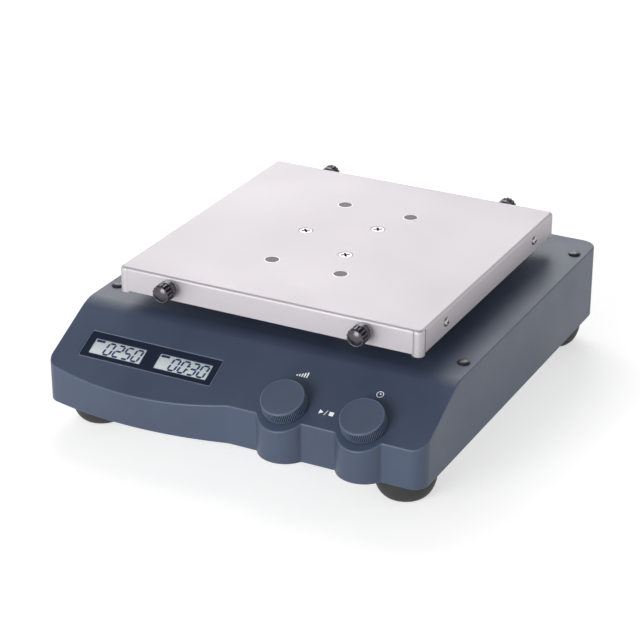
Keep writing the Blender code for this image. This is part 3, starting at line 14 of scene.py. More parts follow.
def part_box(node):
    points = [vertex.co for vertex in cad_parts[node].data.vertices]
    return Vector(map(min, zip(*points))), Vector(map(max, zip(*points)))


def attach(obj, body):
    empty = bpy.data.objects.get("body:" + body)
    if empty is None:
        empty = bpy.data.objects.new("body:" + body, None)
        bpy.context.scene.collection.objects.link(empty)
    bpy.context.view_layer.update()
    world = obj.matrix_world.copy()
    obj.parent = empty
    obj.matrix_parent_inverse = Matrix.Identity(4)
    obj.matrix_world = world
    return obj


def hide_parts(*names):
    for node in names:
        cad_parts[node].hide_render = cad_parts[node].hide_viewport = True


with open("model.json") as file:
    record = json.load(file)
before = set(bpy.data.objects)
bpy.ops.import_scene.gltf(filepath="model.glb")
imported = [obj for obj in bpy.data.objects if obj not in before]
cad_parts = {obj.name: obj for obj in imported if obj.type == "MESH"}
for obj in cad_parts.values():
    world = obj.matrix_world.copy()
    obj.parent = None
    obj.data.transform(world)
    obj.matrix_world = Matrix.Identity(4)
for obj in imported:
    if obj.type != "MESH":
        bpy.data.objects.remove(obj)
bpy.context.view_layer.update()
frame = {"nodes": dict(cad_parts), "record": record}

# Sizes of the housing, as the frame has them
HALF_WIDTH = 0.1361
REAR_Y = 0.150968
FRONT_Y = -0.145032
PANEL_TOP_Y = -0.094032
DECK_Z = 0.0717
LIFT = 0.0188
WALL = 0.003
PANEL_ANGLE = math.radians(26.7)
RIDGE_RADIUS = 0.028
EDGE_ROUND = 0.0009
SWELL_DEPTH = 0.0091
KNEE_RADIUS = 0.020
BULGE_RADIUS = 0.0182
BULGE_DEPTH = 0.0093
CREASE_RADIUS = 0.002
FRONT_CORNER = 0.010
REAR_CORNER = 0.012
KNOB_X = (0.037006, 0.092099)
KNOB_DOWN = 0.0469
DISPLAY_X = -0.06805
DISPLAY_DOWN = 0.0352
DISPLAY_SIZE = (0.1, 0.0223)

# Sizes of the platform
PLATE_Y = 0.016568
SHAFT_Y = 0.014568
PLATE_HALF = 0.110
PLATE_Z = 0.0995
SHEET = 0.0015
BEND = 0.0021
PLATE_CORNER = 0.0043
FLANGE_HEIGHT = 0.0165
CORNER_DROP = 0.0018
COLUMN_RADIUS = 0.0042
COLUMN_PROUD = 0.0003
COLUMN_GAP = 0.00022
PLUG_SPOTS = [(i * 0.0255, PLATE_Y + j * 0.0541) for j in (-1, 1) for i in (-1, 1)]
HUB_SPOTS = [
    (0.0286 * math.cos(math.radians(a)), PLATE_Y + 0.0286 * math.sin(math.radians(a))) for a in (60, 180, 300)
]
IDLER_SPOTS = [
    (0.08 * math.cos(math.radians(a)), SHAFT_Y + 0.08 * math.sin(math.radians(a))) for a in (60, 180, 300)
]
CORNERS = ("front_left", "front_right", "rear_left", "rear_right")
PLUG_BORE = 0.00495
HUB_SEAT = [(0, 0.0010), (0.0051, 0.0010), (0.0051, -0.0004), (0.0034, -0.0020), (0, -0.0020)]
SIDE_SEAT = [(0, 0.002), (0.0033, 0.002), (0.0033, -0.0006), (0.0018, -0.0006), (0.0018, -0.004), (0, -0.004)]
WELD = 0.000002


# Places on the object
def panel_place(x, down, height=0.0):
    """On the sloping panel: X along it, Y up the slope, Z out of it."""
    spot = Vector((x, PANEL_TOP_Y - down * math.cos(PANEL_ANGLE), DECK_Z - down * math.sin(PANEL_ANGLE)))
    out = Vector((0, -math.sin(PANEL_ANGLE), math.cos(PANEL_ANGLE)))
    return Matrix.Translation(spot + out * height) @ Matrix.Rotation(PANEL_ANGLE, 4, "X")


def rear_place(x, z):
    """On the rear wall: X to the left seen from behind, Y up, Z out of the wall."""
    turn = Matrix(((-1, 0, 0, 0), (0, 0, 1, 0), (0, 1, 0, 0), (0, 0, 0, 1)))
    return Matrix.Translation((x, REAR_Y, z)) @ turn


def flange_place(corner):
    """At a thumb screw's hole, Z pointing out of the flange."""
    side = -1 if "left" in corner else 1
    end = -1 if "front" in corner else 1
    spot = Matrix.Translation((side * 0.0705, PLATE_Y + end * PLATE_HALF, PLATE_Z - 0.0075))
    return spot @ Matrix.Rotation(-end * math.pi / 2, 4, "X")


def side_flange_place(corner):
    """At a side screw's hole, Z pointing out of the flange."""
    side = -1 if "left" in corner else 1
    end = -1 if "front" in corner else 1
    spot = Matrix.Translation((side * PLATE_HALF, PLATE_Y + end * 0.0735, PLATE_Z - 0.0083))
    return spot @ Matrix.Rotation(side * math.pi / 2, 4, "Y")


# Shaping
def turned(profile, steps=96):
    """A profile of (radius, height) points spun round Z into a closed solid."""
    bm = bmesh.new()
    points = [bm.verts.new((radius, 0, height)) for radius, height in profile]
    lines = [bm.edges.new(pair) for pair in zip(points, points[1:])]
    bmesh.ops.spin(
        bm, geom=points + lines, cent=(0, 0, 0), axis=(0, 0, 1), angle=math.tau, steps=steps, use_merge=True
    )
    bmesh.ops.remove_doubles(bm, verts=bm.verts, dist=WELD)
    bmesh.ops.recalc_face_normals(bm, faces=bm.faces)
    return bm


def ring(profile, steps=96):
    """A closed profile of (radius, height) points spun round Z."""
    return turned([*profile, profile[0]], steps)


def rod(radius, low, high, at=(0, 0), steps=64):
    """An upright round bar, from low to high."""
    bm = bmesh.new()
    bmesh.ops.create_cone(
        bm, cap_ends=True, segments=steps, radius1=radius, radius2=radius, depth=high - low
    )
    bmesh.ops.translate(bm, vec=(at[0], at[1], (low + high) / 2), verts=bm.verts)
    return bm


def block(low, high):
    low, high = Vector(low), Vector(high)
    bm = bmesh.new()
    bmesh.ops.create_cube(bm, size=1)
    bmesh.ops.scale(bm, vec=high - low, verts=bm.verts)
    bmesh.ops.translate(bm, vec=(low + high) / 2, verts=bm.verts)
    return bm


def round_edges(bm, width, segments=3, sharper_than=40.0, chosen=None, label=None):
    """Bevels every edge that is sharper than an angle, or only those that a test picks.

    A label marks the rounded bands, so that a finish can paint them lighter as a painted highlight along the
    edges.
    """
    limit = math.radians(sharper_than)
    edges = [
        edge for edge in bm.edges
        if len(edge.link_faces) == 2 and edge.calc_face_angle() > limit and (chosen is None or chosen(edge))
    ]
    rounded = bmesh.ops.bevel(
        bm, geom=edges, offset=width, segments=segments, profile=0.5, affect="EDGES", material=-1,
        clamp_overlap=True,
    )
    if label:
        band = set(rounded["faces"])
        marked(bm, label, lambda vert: 1.0 if all(face in band for face in vert.link_faces) else 0.0)
    return bm


def plate(width, height, corner, low, high, at=(0, 0), steps=8):
    """A flat plate with round corners, from low to high."""
    bm = block((at[0] - width / 2, at[1] - height / 2, low), (at[0] + width / 2, at[1] + height / 2, high))
    if corner:
        upright = [edge for edge in bm.edges if abs(edge.verts[0].co.z - edge.verts[1].co.z) > 0.00001]
        bmesh.ops.bevel(
            bm, geom=upright, offset=corner, segments=steps, profile=0.5, affect="EDGES", material=-1
        )
    return bm


def moved(bm, place):
    bmesh.ops.transform(bm, matrix=place, verts=bm.verts)
    return bm


def together(*parts):
    """Several shapes in one mesh."""
    whole = bmesh.new()
    for part in parts:
        mesh = bpy.data.meshes.new("part")
        part.to_mesh(mesh)
        part.free()
        whole.from_mesh(mesh)
        bpy.data.meshes.remove(mesh)
    return whole


def held(name, bm):
    mesh = bpy.data.meshes.new(name)
    bm.to_mesh(mesh)
    bm.free()
    obj = bpy.data.objects.new(name, mesh)
    bpy.context.scene.collection.objects.link(obj)
    return obj


def carved(bm, *cutters, operation="DIFFERENCE"):
    """A solid with other solids cut out of it, and the slivers that this leaves closed."""
    solid = held("solid", bm)
    tools = [held("tool", cutter) for cutter in cutters]
    for tool in tools:
        cut = solid.modifiers.new("cut", "BOOLEAN")
        cut.operation = operation
        cut.object = tool
    bpy.context.view_layer.update()
    result = bmesh.new()
    result.from_object(solid, bpy.context.evaluated_depsgraph_get())
    for obj in (solid, *tools):
        mesh = obj.data
        bpy.data.objects.remove(obj)
        bpy.data.meshes.remove(mesh)
    bmesh.ops.remove_doubles(result, verts=result.verts, dist=WELD)
    slivers = [edge for edge in result.edges if len(edge.link_faces) == 1]
    bmesh.ops.holes_fill(result, edges=slivers, sides=8)
    return result


def joined(bm, *others):
    """Several solids that overlap, made one solid."""
    return carved(bm, *others, operation="UNION")


def marked(bm, label, value_at):
    """Writes a number on each corner point, for a finish to read."""
    layer = bm.verts.layers.float.get(label) or bm.verts.layers.float.new(label)
    for vert in bm.verts:
        vert[layer] = value_at(vert)
    return bm


def new_piece(name, bm, finish, body, replaced=(), place=None, smooth=32.0):
    """Makes a finished piece of a shape, riding a body and standing for the nodes it replaces."""
    if place is not None:
        moved(bm, place)
    mesh = bpy.data.meshes.new(name)
    bm.to_mesh(mesh)
    bm.free()
    mesh.materials.append(finish)
    mesh.shade_smooth()
    mesh.set_sharp_from_angle(angle=math.radians(smooth))
    piece = bpy.data.objects.new(name, mesh)
    bpy.context.scene.collection.objects.link(piece)
    even = piece.modifiers.new("even_shading", "WEIGHTED_NORMAL")
    even.keep_sharp = True
    even.weight = 50
    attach(piece, body)
    if replaced:
        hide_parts(*replaced)
    return piece


class Pen:
    """Draws a closed outline on the ground plane with straight lines and sweeps about a centre."""

    def __init__(self, start):
        self.bm = bmesh.new()
        self.first = self.tip = self.bm.verts.new((*start, 0))

    def line(self, to):
        fresh = bmesh.ops.extrude_vert_indiv(self.bm, verts=[self.tip])["verts"][0]
        fresh.co = (*to, 0)
        self.tip = fresh

    def sweep(self, centre, angle, steps):
        swept = bmesh.ops.spin(
            self.bm, geom=[self.tip], cent=(*centre, 0), axis=(0, 0, 1), angle=angle, steps=steps
        )
        self.tip = next(item for item in swept["geom_last"] if isinstance(item, bmesh.types.BMVert))

    def raised(self, low, high):
        """The outline filled and drawn up into a solid."""
        self.bm.edges.new((self.tip, self.first))
        bmesh.ops.remove_doubles(self.bm, verts=self.bm.verts, dist=WELD)
        bmesh.ops.contextual_create(self.bm, geom=self.bm.edges[:])
        bmesh.ops.translate(self.bm, vec=(0, 0, low), verts=self.bm.verts)
        drawn = bmesh.ops.extrude_face_region(self.bm, geom=self.bm.faces[:])
        top = [item for item in drawn["geom"] if isinstance(item, bmesh.types.BMVert)]
        bmesh.ops.translate(self.bm, vec=(0, 0, high - low), verts=top)
        bmesh.ops.recalc_face_normals(self.bm, faces=self.bm.faces)
        return self.bm


# Housing
def housing_block(inset, low):
    """The housing's outline drawn up to the deck and cut along the panel, moved inwards by an inset."""
    side, front, rear = HALF_WIDTH - inset, FRONT_Y + inset, REAR_Y - inset
    half = HALF_WIDTH / 2
    swell = (half**2 + SWELL_DEPTH**2) / (2 * SWELL_DEPTH)
    middle = Vector((-half, FRONT_Y - SWELL_DEPTH + swell))
    across = FRONT_CORNER - HALF_WIDTH - middle.x
    down = math.sqrt((swell - FRONT_CORNER) ** 2 - across**2)
    corner = middle + Vector((across, -down))
    start = math.atan2(-down, across) + math.tau
    knee_down = middle.y - FRONT_Y + KNEE_RADIUS
    knee_across = math.sqrt((swell + KNEE_RADIUS) ** 2 - knee_down**2)
    knee = middle + Vector((knee_across, -knee_down))
    end = math.atan2(-knee_down, knee_across) + math.tau
    pen = Pen((-side, corner.y))
    pen.sweep(corner, start - math.pi, 20)
    pen.sweep(middle, end - start, 48)
    pen.sweep(knee, math.pi / 2 - (end - math.pi), 10)
    lift = BULGE_RADIUS - BULGE_DEPTH + CREASE_RADIUS
    reach = math.sqrt((BULGE_RADIUS + CREASE_RADIUS) ** 2 - lift**2)
    lean = math.atan2(lift, reach)
    for x in KNOB_X:
        pen.line((x - reach, front))
        pen.sweep((x - reach, FRONT_Y - CREASE_RADIUS), lean - math.pi / 2, 8)
        pen.sweep((x, FRONT_Y - BULGE_DEPTH + BULGE_RADIUS), math.pi - 2 * lean, 56)
        pen.sweep((x + reach, FRONT_Y - CREASE_RADIUS), lean - math.pi / 2, 8)
    pen.line((HALF_WIDTH - FRONT_CORNER, front))
    pen.sweep((HALF_WIDTH - FRONT_CORNER, FRONT_Y + FRONT_CORNER), math.pi / 2, 20)
    pen.line((side, REAR_Y - REAR_CORNER))
    pen.sweep((HALF_WIDTH - REAR_CORNER, REAR_Y - REAR_CORNER), math.pi / 2, 20)
    pen.line((REAR_CORNER - HALF_WIDTH, rear))
    pen.sweep((REAR_CORNER - HALF_WIDTH, REAR_Y - REAR_CORNER), math.pi / 2, 20)
    bm = pen.raised(low, DECK_Z - inset)
    out = Vector((0, -math.sin(PANEL_ANGLE), math.cos(PANEL_ANGLE)))
    slope = bmesh.ops.bisect_plane(
        bm, geom=bm.verts[:] + bm.edges[:] + bm.faces[:], dist=0.000001,
        plane_co=Vector((0, PANEL_TOP_Y, DECK_Z)) - out * inset, plane_no=out, clear_outer=True,
    )
    rim = [item for item in slope["geom_cut"] if isinstance(item, bmesh.types.BMEdge)]
    bmesh.ops.contextual_create(bm, geom=rim)
    bmesh.ops.recalc_face_normals(bm, faces=bm.faces)
    return bm


def make_housing():
    shell = housing_block(0, LIFT)

    def ridge(edge):
        return all(abs(v.co.y - PANEL_TOP_Y) < 0.0001 and v.co.z > DECK_Z - 0.0001 for v in edge.verts)

    round_edges(shell, RIDGE_RADIUS * math.tan(PANEL_ANGLE / 2), 10, 20, ridge)
    # the rounded edges are marked for a painted highlight
    round_edges(shell, EDGE_ROUND, 4, 50, label="edge")
    wide, high = DISPLAY_SIZE
    display = panel_place(DISPLAY_X, DISPLAY_DOWN)
    cutters = [
        housing_block(WALL, LIFT - 0.004),
        moved(plate(wide, high, 0.0015, -0.002, 0.004), display),
        moved(plate(wide - 0.006, high - 0.006, 0.0015, -0.007, 0.004), display),
        rod(0.013, DECK_Z - 0.008, DECK_Z + 0.004, (0, SHAFT_Y)),
        moved(plate(0.0486, 0.0286, 0, -0.008, 0.004), rear_place(-0.08, 0.0478)),
    ]
    cutters += [rod(0.0075, DECK_Z - 0.008, DECK_Z + 0.004, spot) for spot in IDLER_SPOTS]
    cutters += [moved(rod(0.0048, -0.008, 0.004), panel_place(x, KNOB_DOWN)) for x in KNOB_X]
    for corner in CORNERS:
        least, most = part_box("deck_cap_" + corner)
        spot = (least + most) / 2
        cutters.append(rod(0.0045, DECK_Z - 0.0005, DECK_Z + 0.004, spot.xy))
    shell = carved(shell, *cutters)
    back = display.inverted()

    def recess_rim(edge):
        spots = [back @ v.co for v in edge.verts]
        return all(
            abs(s.z) < 0.00005 and abs(s.x) < wide / 2 + 0.0001 and abs(s.y) < high / 2 + 0.0001
            for s in spots
        )

    round_edges(shell, 0.0005, 2, 50, recess_rim)
    new_piece("housing_shell", shell, SHELL, "base", ["housing"])


def make_feet():
    profile = [
        (0, 0.0192), (0.0180, 0.0192), (0.0184, 0.0185), (0.0198, 0.0184), (0.0200, 0.0180), (0.0200, 0.0120),
        (0.0198, 0.0105), (0.0193, 0.0088), (0.0186, 0.0066), (0.0176, 0.0045), (0.0166, 0.0028),
        (0.0154, 0.0014), (0.0143, 0.0004), (0.0130, 0), (0.0052, 0), (0.0050, 0.0002), (0.0050, 0.0060),
        (0, 0.0060),
    ]
    for corner in CORNERS:
        low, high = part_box("foot_" + corner)
        spot = Matrix.Translation(((low.x + high.x) / 2, (low.y + high.y) / 2, 0))
        new_piece("rubber_foot_" + corner, turned(profile), FOOT_RUBBER, "base",
                  ["foot_" + corner], spot)


def make_deck_caps():
    for corner in CORNERS:
        low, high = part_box("deck_cap_" + corner)
        top = high.z - DECK_Z
        profile = [
            (0, top), (0.0016, top - 0.00006), (0.0028, top - 0.00022), (0.0035, top - 0.00045),
            (0.0039, top - 0.0008), (0.0040, 0.0008), (0.0040, -0.0003), (0.0022, -0.0003), (0.0022, -0.004),
            (0, -0.004),
        ]
        spot = Matrix.Translation(((low.x + high.x) / 2, (low.y + high.y) / 2, DECK_Z))
        new_piece("cap_" + corner, turned(profile, 48), CAP, "base",
                  ["deck_cap_" + corner], spot)


# Display
INK = 0.00004
SLANT = 0.16
SEGMENTS = {"0": "abcdef", "2": "abged", "3": "abgcd", "5": "afgcd"}


def segment(length, width, upright, at):
    """One pointed bar of a digit."""
    bm = block((-length / 2, -width / 2, 0), (length / 2, width / 2, INK))
    ends = [edge for edge in bm.edges if abs(edge.verts[0].co.z - edge.verts[1].co.z) > 0.00001]
    bmesh.ops.bevel(bm, geom=ends, offset=width * 0.45, segments=1, profile=0.5, affect="EDGES", material=-1)
    if upright:
        bmesh.ops.rotate(bm, matrix=Matrix.Rotation(math.pi / 2, 3, "Z"), verts=bm.verts)
    bmesh.ops.translate(bm, vec=(*at, 0), verts=bm.verts)
    return bm


def digit(figure, x):
    """A slanted seven-bar digit, its middle at x."""
    w, h, bar = 0.0047, 0.0093, 0.00142
    spots = {
        "a": (False, (0, h / 2)), "g": (False, (0, 0)), "d": (False, (0, -h / 2)),
        "f": (True, (-w / 2, h / 4)), "b": (True, (w / 2, h / 4)),
        "e": (True, (-w / 2, -h / 4)), "c": (True, (w / 2, -h / 4)),
    }
    bars = []
    for letter in SEGMENTS[figure]:
        upright, spot = spots[letter]
        bars.append(segment((h / 2 if upright else w) - bar * 0.35, bar, upright, spot))
    bm = together(*bars)
    slant = Matrix(((1, SLANT, 0, x), (0, 1, 0, 0), (0, 0, 1, 0), (0, 0, 0, 1)))
    return moved(bm, slant)


def make_display():
    wide, high = DISPLAY_SIZE
    bezel = plate(wide - 0.0006, high - 0.0006, 0.0015, -0.0017, -0.0005)
    openings = []
    for side in (-1, 1):
        openings.append(plate(0.0392, 0.0125, 0.0002, -0.006, 0.004, (side * 0.02475, -0.0006), 2))
    bezel = carved(bezel, *openings)
    round_edges(bezel, 0.00015, 2, 50)
    place = panel_place(DISPLAY_X, DISPLAY_DOWN)
    new_piece("display_bezel", bezel, BEZEL, "base", ["display_window"], place)
    # a lighter frame round the window, standing in for light on its edge: painted highlight
    trim = carved(
        plate(wide - 0.0002, high - 0.0002, 0.0015, -0.0012, -0.0001),
        plate(wide - 0.0014, high - 0.0014, 0.0010, -0.004, 0.004),
    )
    new_piece("display_trim_painted_highlight", round_edges(trim, 0.0002, 2, 50), TRIM_PAINTED_HIGHLIGHT, "base", place=place)
    for side, name, figures in ((-1, "speed_lcd", "0250"), (1, "time_lcd", "0030")):
        spot = place @ Matrix.Translation((side * 0.02475, -0.0006, 0))
        ground = plate(0.0390, 0.0123, 0, -0.0100, -0.0013)
        # painted shade: strongest at the top right, none at the bottom left
        marked(ground, "painted_frame_shade", lambda v: 0.35 + (0.45 if v.co.y > 0 else -0.35) + (0.2 if v.co.x > 0 else 0.0))
        new_piece(name + "_ground", ground, LCD, "base", [name], spot)
        marks = [digit(figure, -0.0066 + 0.0071 * i) for i, figure in enumerate(figures)]
        if side == 1:
            for y in (-0.0014, 0.0014):
                dot = 0.0035 + y * SLANT
                marks.append(block((dot, y - 0.0005, 0), (dot + 0.0011, y + 0.0005, INK)))
        marks.append(block((-0.0186, 0.0038, 0), (-0.0122, 0.0057, INK)))
        new_piece(name + "_digits", together(*marks), DIGIT, "base",
                  place=spot @ Matrix.Translation((0, 0, -0.0013)))


# Knobs
def make_knob(name, x):
    """A knob with fine upright ribs, a plain rim and a slightly dished face."""
    ribs, lift, tall = 76, 0.0011, 0.0080
    bm = bmesh.new()
    bmesh.ops.create_circle(bm, cap_ends=True, segments=4 * ribs, radius=0.0148)
    painted_shade_and_highlight = bm.verts.layers.float.new("painted_shade_and_highlight")
    rim = lift + tall
    levels = [
        (0.0148, lift + 0.0004, True), (0.01440, rim - 0.0013, True), (0.01440, rim - 0.0011, False),
        (0.01435, rim - 0.0006, False), (0.0141, rim - 0.00018, False), (0.0137, rim, False),
        (0.0133, rim - 0.00006, False), (0.0128, rim - 0.00030, False), (0.0060, rim - 0.00042, False),
    ]
    bmesh.ops.translate(bm, vec=(0, 0, lift), verts=bm.verts)
    edges = bm.edges[:]
    for radius, height, ribbed in levels:
        drawn = bmesh.ops.extrude_edge_only(bm, edges=edges)["geom"]
        for vert in (item for item in drawn if isinstance(item, bmesh.types.BMVert)):
            angle = math.atan2(vert.co.y, vert.co.x) % math.tau
            sunk = ribbed and round(angle / math.tau * 4 * ribs) % 4 in (2, 3)
            reach = radius - (0.0007 if sunk else 0)
            vert.co = (reach * math.cos(angle), reach * math.sin(angle), height)
            # painted shade in the sunk ribs, painted highlight on the rib crests
            vert[painted_shade_and_highlight] = (1.0 if sunk else -0.9) if ribbed else 0.0
            # a painted highlight on the rim round the face
            if radius in (0.0141, 0.0137):
                vert[painted_shade_and_highlight] = -0.45
        edges = [item for item in drawn if isinstance(item, bmesh.types.BMEdge)
                 and all(abs(v.co.z - height) < 0.000001 for v in item.verts)]
    bmesh.ops.contextual_create(bm, geom=edges)
    bmesh.ops.recalc_face_normals(bm, faces=bm.faces)
    new_piece(name + "_knob_cap", bm, KNOB, name + "_dial", [name + "_knob"],
              panel_place(x, KNOB_DOWN), 38)


# Printed marks on the panel
def printed(name, shapes, place):
    new_piece(name, together(*shapes), PRINT_WITH_PAINTED_GLOW, "base", place=place)


def make_marks():
    """Plain marks: rising bars for speed, a clock for time, start and stop signs between the knobs."""
    thin = (0.0, 0.00005)
    bars = [
        plate(0.0009, 0.0011 + 0.0008 * i, 0.0002, *thin, (i * 0.0017 - 0.0034, 0.0004 * i), 2)
        for i in range(5)
    ]
    printed("speed_mark", bars, panel_place(0.0372, 0.0224))
    face = ring([(0.0024, 0.00005), (0.0024, 0), (0.0020, 0), (0.0020, 0.00005)], 48)
    hands = [
        plate(0.0004, 0.0016, 0.0001, *thin, (0, 0.0007), 2),
        plate(0.0012, 0.0004, 0.0001, *thin, (0.0005, 0), 2),
    ]
    printed("time_mark", [face, *hands], panel_place(0.0920, 0.0224))
    start = rod(0.0019, *thin, steps=3)
    bmesh.ops.rotate(start, matrix=Matrix.Rotation(math.radians(-90), 3, "Z"), verts=start.verts)
    bmesh.ops.translate(start, vec=(-0.0036, 0, 0), verts=start.verts)
    stop = plate(0.0030, 0.0030, 0.0003, *thin, (0.0038, 0), 2)
    slash = moved(plate(0.0004, 0.0042, 0.0001, *thin, (0, 0), 2), Matrix.Rotation(math.radians(-20), 4, "Z"))
    printed("start_stop_mark", [start, slash, stop], panel_place(0.0645, 0.0449))


# Platform
def column_place(corner):
    """On the axis of a corner's round upright."""
    side = -1 if "left" in corner else 1
    end = -1 if "front" in corner else 1
    inwards = PLATE_HALF + COLUMN_PROUD - COLUMN_RADIUS
    return Matrix.Translation((side * inwards, PLATE_Y + end * inwards, 0))


def corner_column(corner):
    """The round upright at a corner, a little proud of both flanges, with a domed top and a longer foot."""
    top = PLATE_Z - 0.0001
    foot = PLATE_Z - FLANGE_HEIGHT - CORNER_DROP
    profile = [
        (0, top), (0.0022, top), (0.0031, top - 0.00022), (0.0037, top - 0.0007), (0.0040, top - 0.0013),
        (0.00415, top - 0.0020), (COLUMN_RADIUS, top - 0.0028), (COLUMN_RADIUS, foot + 0.0004),
        (COLUMN_RADIUS - 0.0003, foot), (0, foot),
    ]
    return moved(turned(profile, 64), column_place(corner))


def make_tray():
    """The folded sheet: a flat top with four flanges, its holes, and the round uprights at its corners."""
    bm = bmesh.new()
    bmesh.ops.create_grid(bm, x_segments=1, y_segments=1, size=PLATE_HALF)
    bmesh.ops.translate(bm, vec=(0, PLATE_Y, PLATE_Z), verts=bm.verts)
    skirt = bmesh.ops.extrude_edge_only(bm, edges=bm.edges[:])["geom"]
    bmesh.ops.translate(
        bm, vec=(0, 0, -FLANGE_HEIGHT), verts=[item for item in skirt if isinstance(item, bmesh.types.BMVert)]
    )
    bmesh.ops.recalc_face_normals(bm, faces=bm.faces)
    if max(bm.faces, key=lambda f: f.calc_center_median().z).normal.z < 0:
        bmesh.ops.reverse_faces(bm, faces=bm.faces)
    upright = [e for e in bm.edges if abs(e.verts[0].co.z - e.verts[1].co.z) > 0.001]
    bmesh.ops.bevel(
        bm, geom=upright, offset=PLATE_CORNER, segments=12, profile=0.5, affect="EDGES", material=-1
    )
    brim = [e for e in bm.edges if all(v.co.z > PLATE_Z - 0.0001 for v in e.verts) and len(e.link_faces) == 2]
    bmesh.ops.bevel(bm, geom=brim, offset=BEND, segments=10, profile=0.5, affect="EDGES", material=-1)
    bmesh.ops.solidify(bm, geom=bm.faces[:], thickness=SHEET)
    bmesh.ops.recalc_face_normals(bm, faces=bm.faces)
    cutters = []
    for spot in PLUG_SPOTS:
        cutters.append(rod(PLUG_BORE, PLATE_Z - 0.006, PLATE_Z + 0.004, spot))
    for spot in HUB_SPOTS:
        cutters.append(moved(turned(HUB_SEAT, 64), Matrix.Translation((*spot, PLATE_Z))))
    for corner in CORNERS:
        cutters.append(moved(rod(0.0028, -0.004, 0.002, steps=32), flange_place(corner)))
        cutters.append(moved(turned(SIDE_SEAT, 48), side_flange_place(corner)))
        low, high = PLATE_Z - FLANGE_HEIGHT - 0.004, PLATE_Z - 0.0007
        near, far = COLUMN_RADIUS - 0.0002, COLUMN_RADIUS + COLUMN_GAP
        gap = ring([(near, high), (far, high), (far, low), (near, low)], 64)
        cutters.append(moved(gap, column_place(corner)))
    tray = joined(carved(bm, *cutters), *[corner_column(corner) for corner in CORNERS])
    new_piece("platform_sheet", tray, BRUSHED, "platform", ["platform_tray"])
    nuts = []
    for corner in CORNERS:
        nuts.append(moved(rod(0.0048, -0.0055, -0.0016, steps=6), flange_place(corner)))
        nuts.append(moved(rod(0.0033, -0.0039, -0.0016, steps=6), side_flange_place(corner)))
    new_piece("weld_nuts", together(*nuts), PLATED, "platform")


def cross_recess(reach, width, depth, top):
    """Two crossed tapered slots for a cross-head driver."""
    slots = []
    for turn in (0, math.pi / 2):
        slot = block((-reach, -width / 2, top - depth), (reach, width / 2, top + 0.002))
        slots.append(moved(slot, Matrix.Rotation(turn, 4, "Z")))
    return slots


def make_screws():
    for number, spot in enumerate(HUB_SPOTS, 1):
        profile = [
            (0, 0), (0.0044, 0), (0.0047, -0.00012), (0.0048, -0.0003), (0.0025, -0.0024),
            (0.0025, -0.0100), (0, -0.0100),
        ]
        head = carved(turned(profile, 64), *cross_recess(0.0030, 0.0015, 0.0016, 0))
        # painted shade at the bottom of the cross recess
        marked(head, "painted_shade_and_highlight", lambda v: float(-0.002 < v.co.z < -0.0008 and v.co.xy.length < 0.0032))
        turn = Matrix.Rotation(math.radians((28, 40, 34)[number - 1]), 4, "Z")
        new_piece(f"cross_screw_{number}", head, SCREW, "platform", [f"hub_screw_{number}"],
                  Matrix.Translation((*spot, PLATE_Z)) @ turn)
    for number, corner in enumerate(CORNERS):
        profile = [
            (0, 0.0017), (0.0012, 0.00165), (0.0020, 0.0014), (0.0025, 0.0010), (0.0027, 0.0006),
            (0.0027, -0.0003), (0.0015, -0.0003), (0.0015, -0.0067), (0, -0.0067),
        ]
        head = carved(turned(profile, 48), *cross_recess(0.0018, 0.0009, 0.0012, 0.0017))
        # painted shade at the bottom of the cross recess
        marked(head, "painted_shade_and_highlight", lambda v: float(0 < v.co.z < 0.0008 and v.co.xy.length < 0.00195))
        turn = Matrix.Rotation(math.radians(25 + 50 * number), 4, "Z")
        new_piece("flange_screw_" + corner, head, SCREW, "platform", ["side_screw_" + corner],
                  side_flange_place(corner) @ turn)
    for corner, spot in zip(CORNERS, PLUG_SPOTS):
        place = Matrix.Translation((*spot, PLATE_Z))
        profile = [
            (0, -0.0001), (0.0046, -0.0001), (0.00468, -0.00015), (0.0047, -0.0004), (0.0047, -0.0018),
            (0.0057, -0.0018), (0.0057, -0.0030), (0, -0.0030),
        ]
        new_piece("plug_" + corner, turned(profile, 64), PLUG, "platform",
                  ["plate_plug_" + corner], place)
        # a low lip round each plug; its colour, much lighter than the sheet, is a painted highlight on the
        # hole's edge
        lip = ring([
            (0.00472, -0.0006), (0.00472, 0), (0.0048, 0.0001), (0.0051, 0.0001), (0.0053, 0.00003),
            (0.0053, -0.0002), (0.0049, -0.0002), (0.0049, -0.0006),
        ], 64)
        new_piece("plug_seat_" + corner, lip, PLUG_LIP_PAINTED_HIGHLIGHT, "platform", place=place)


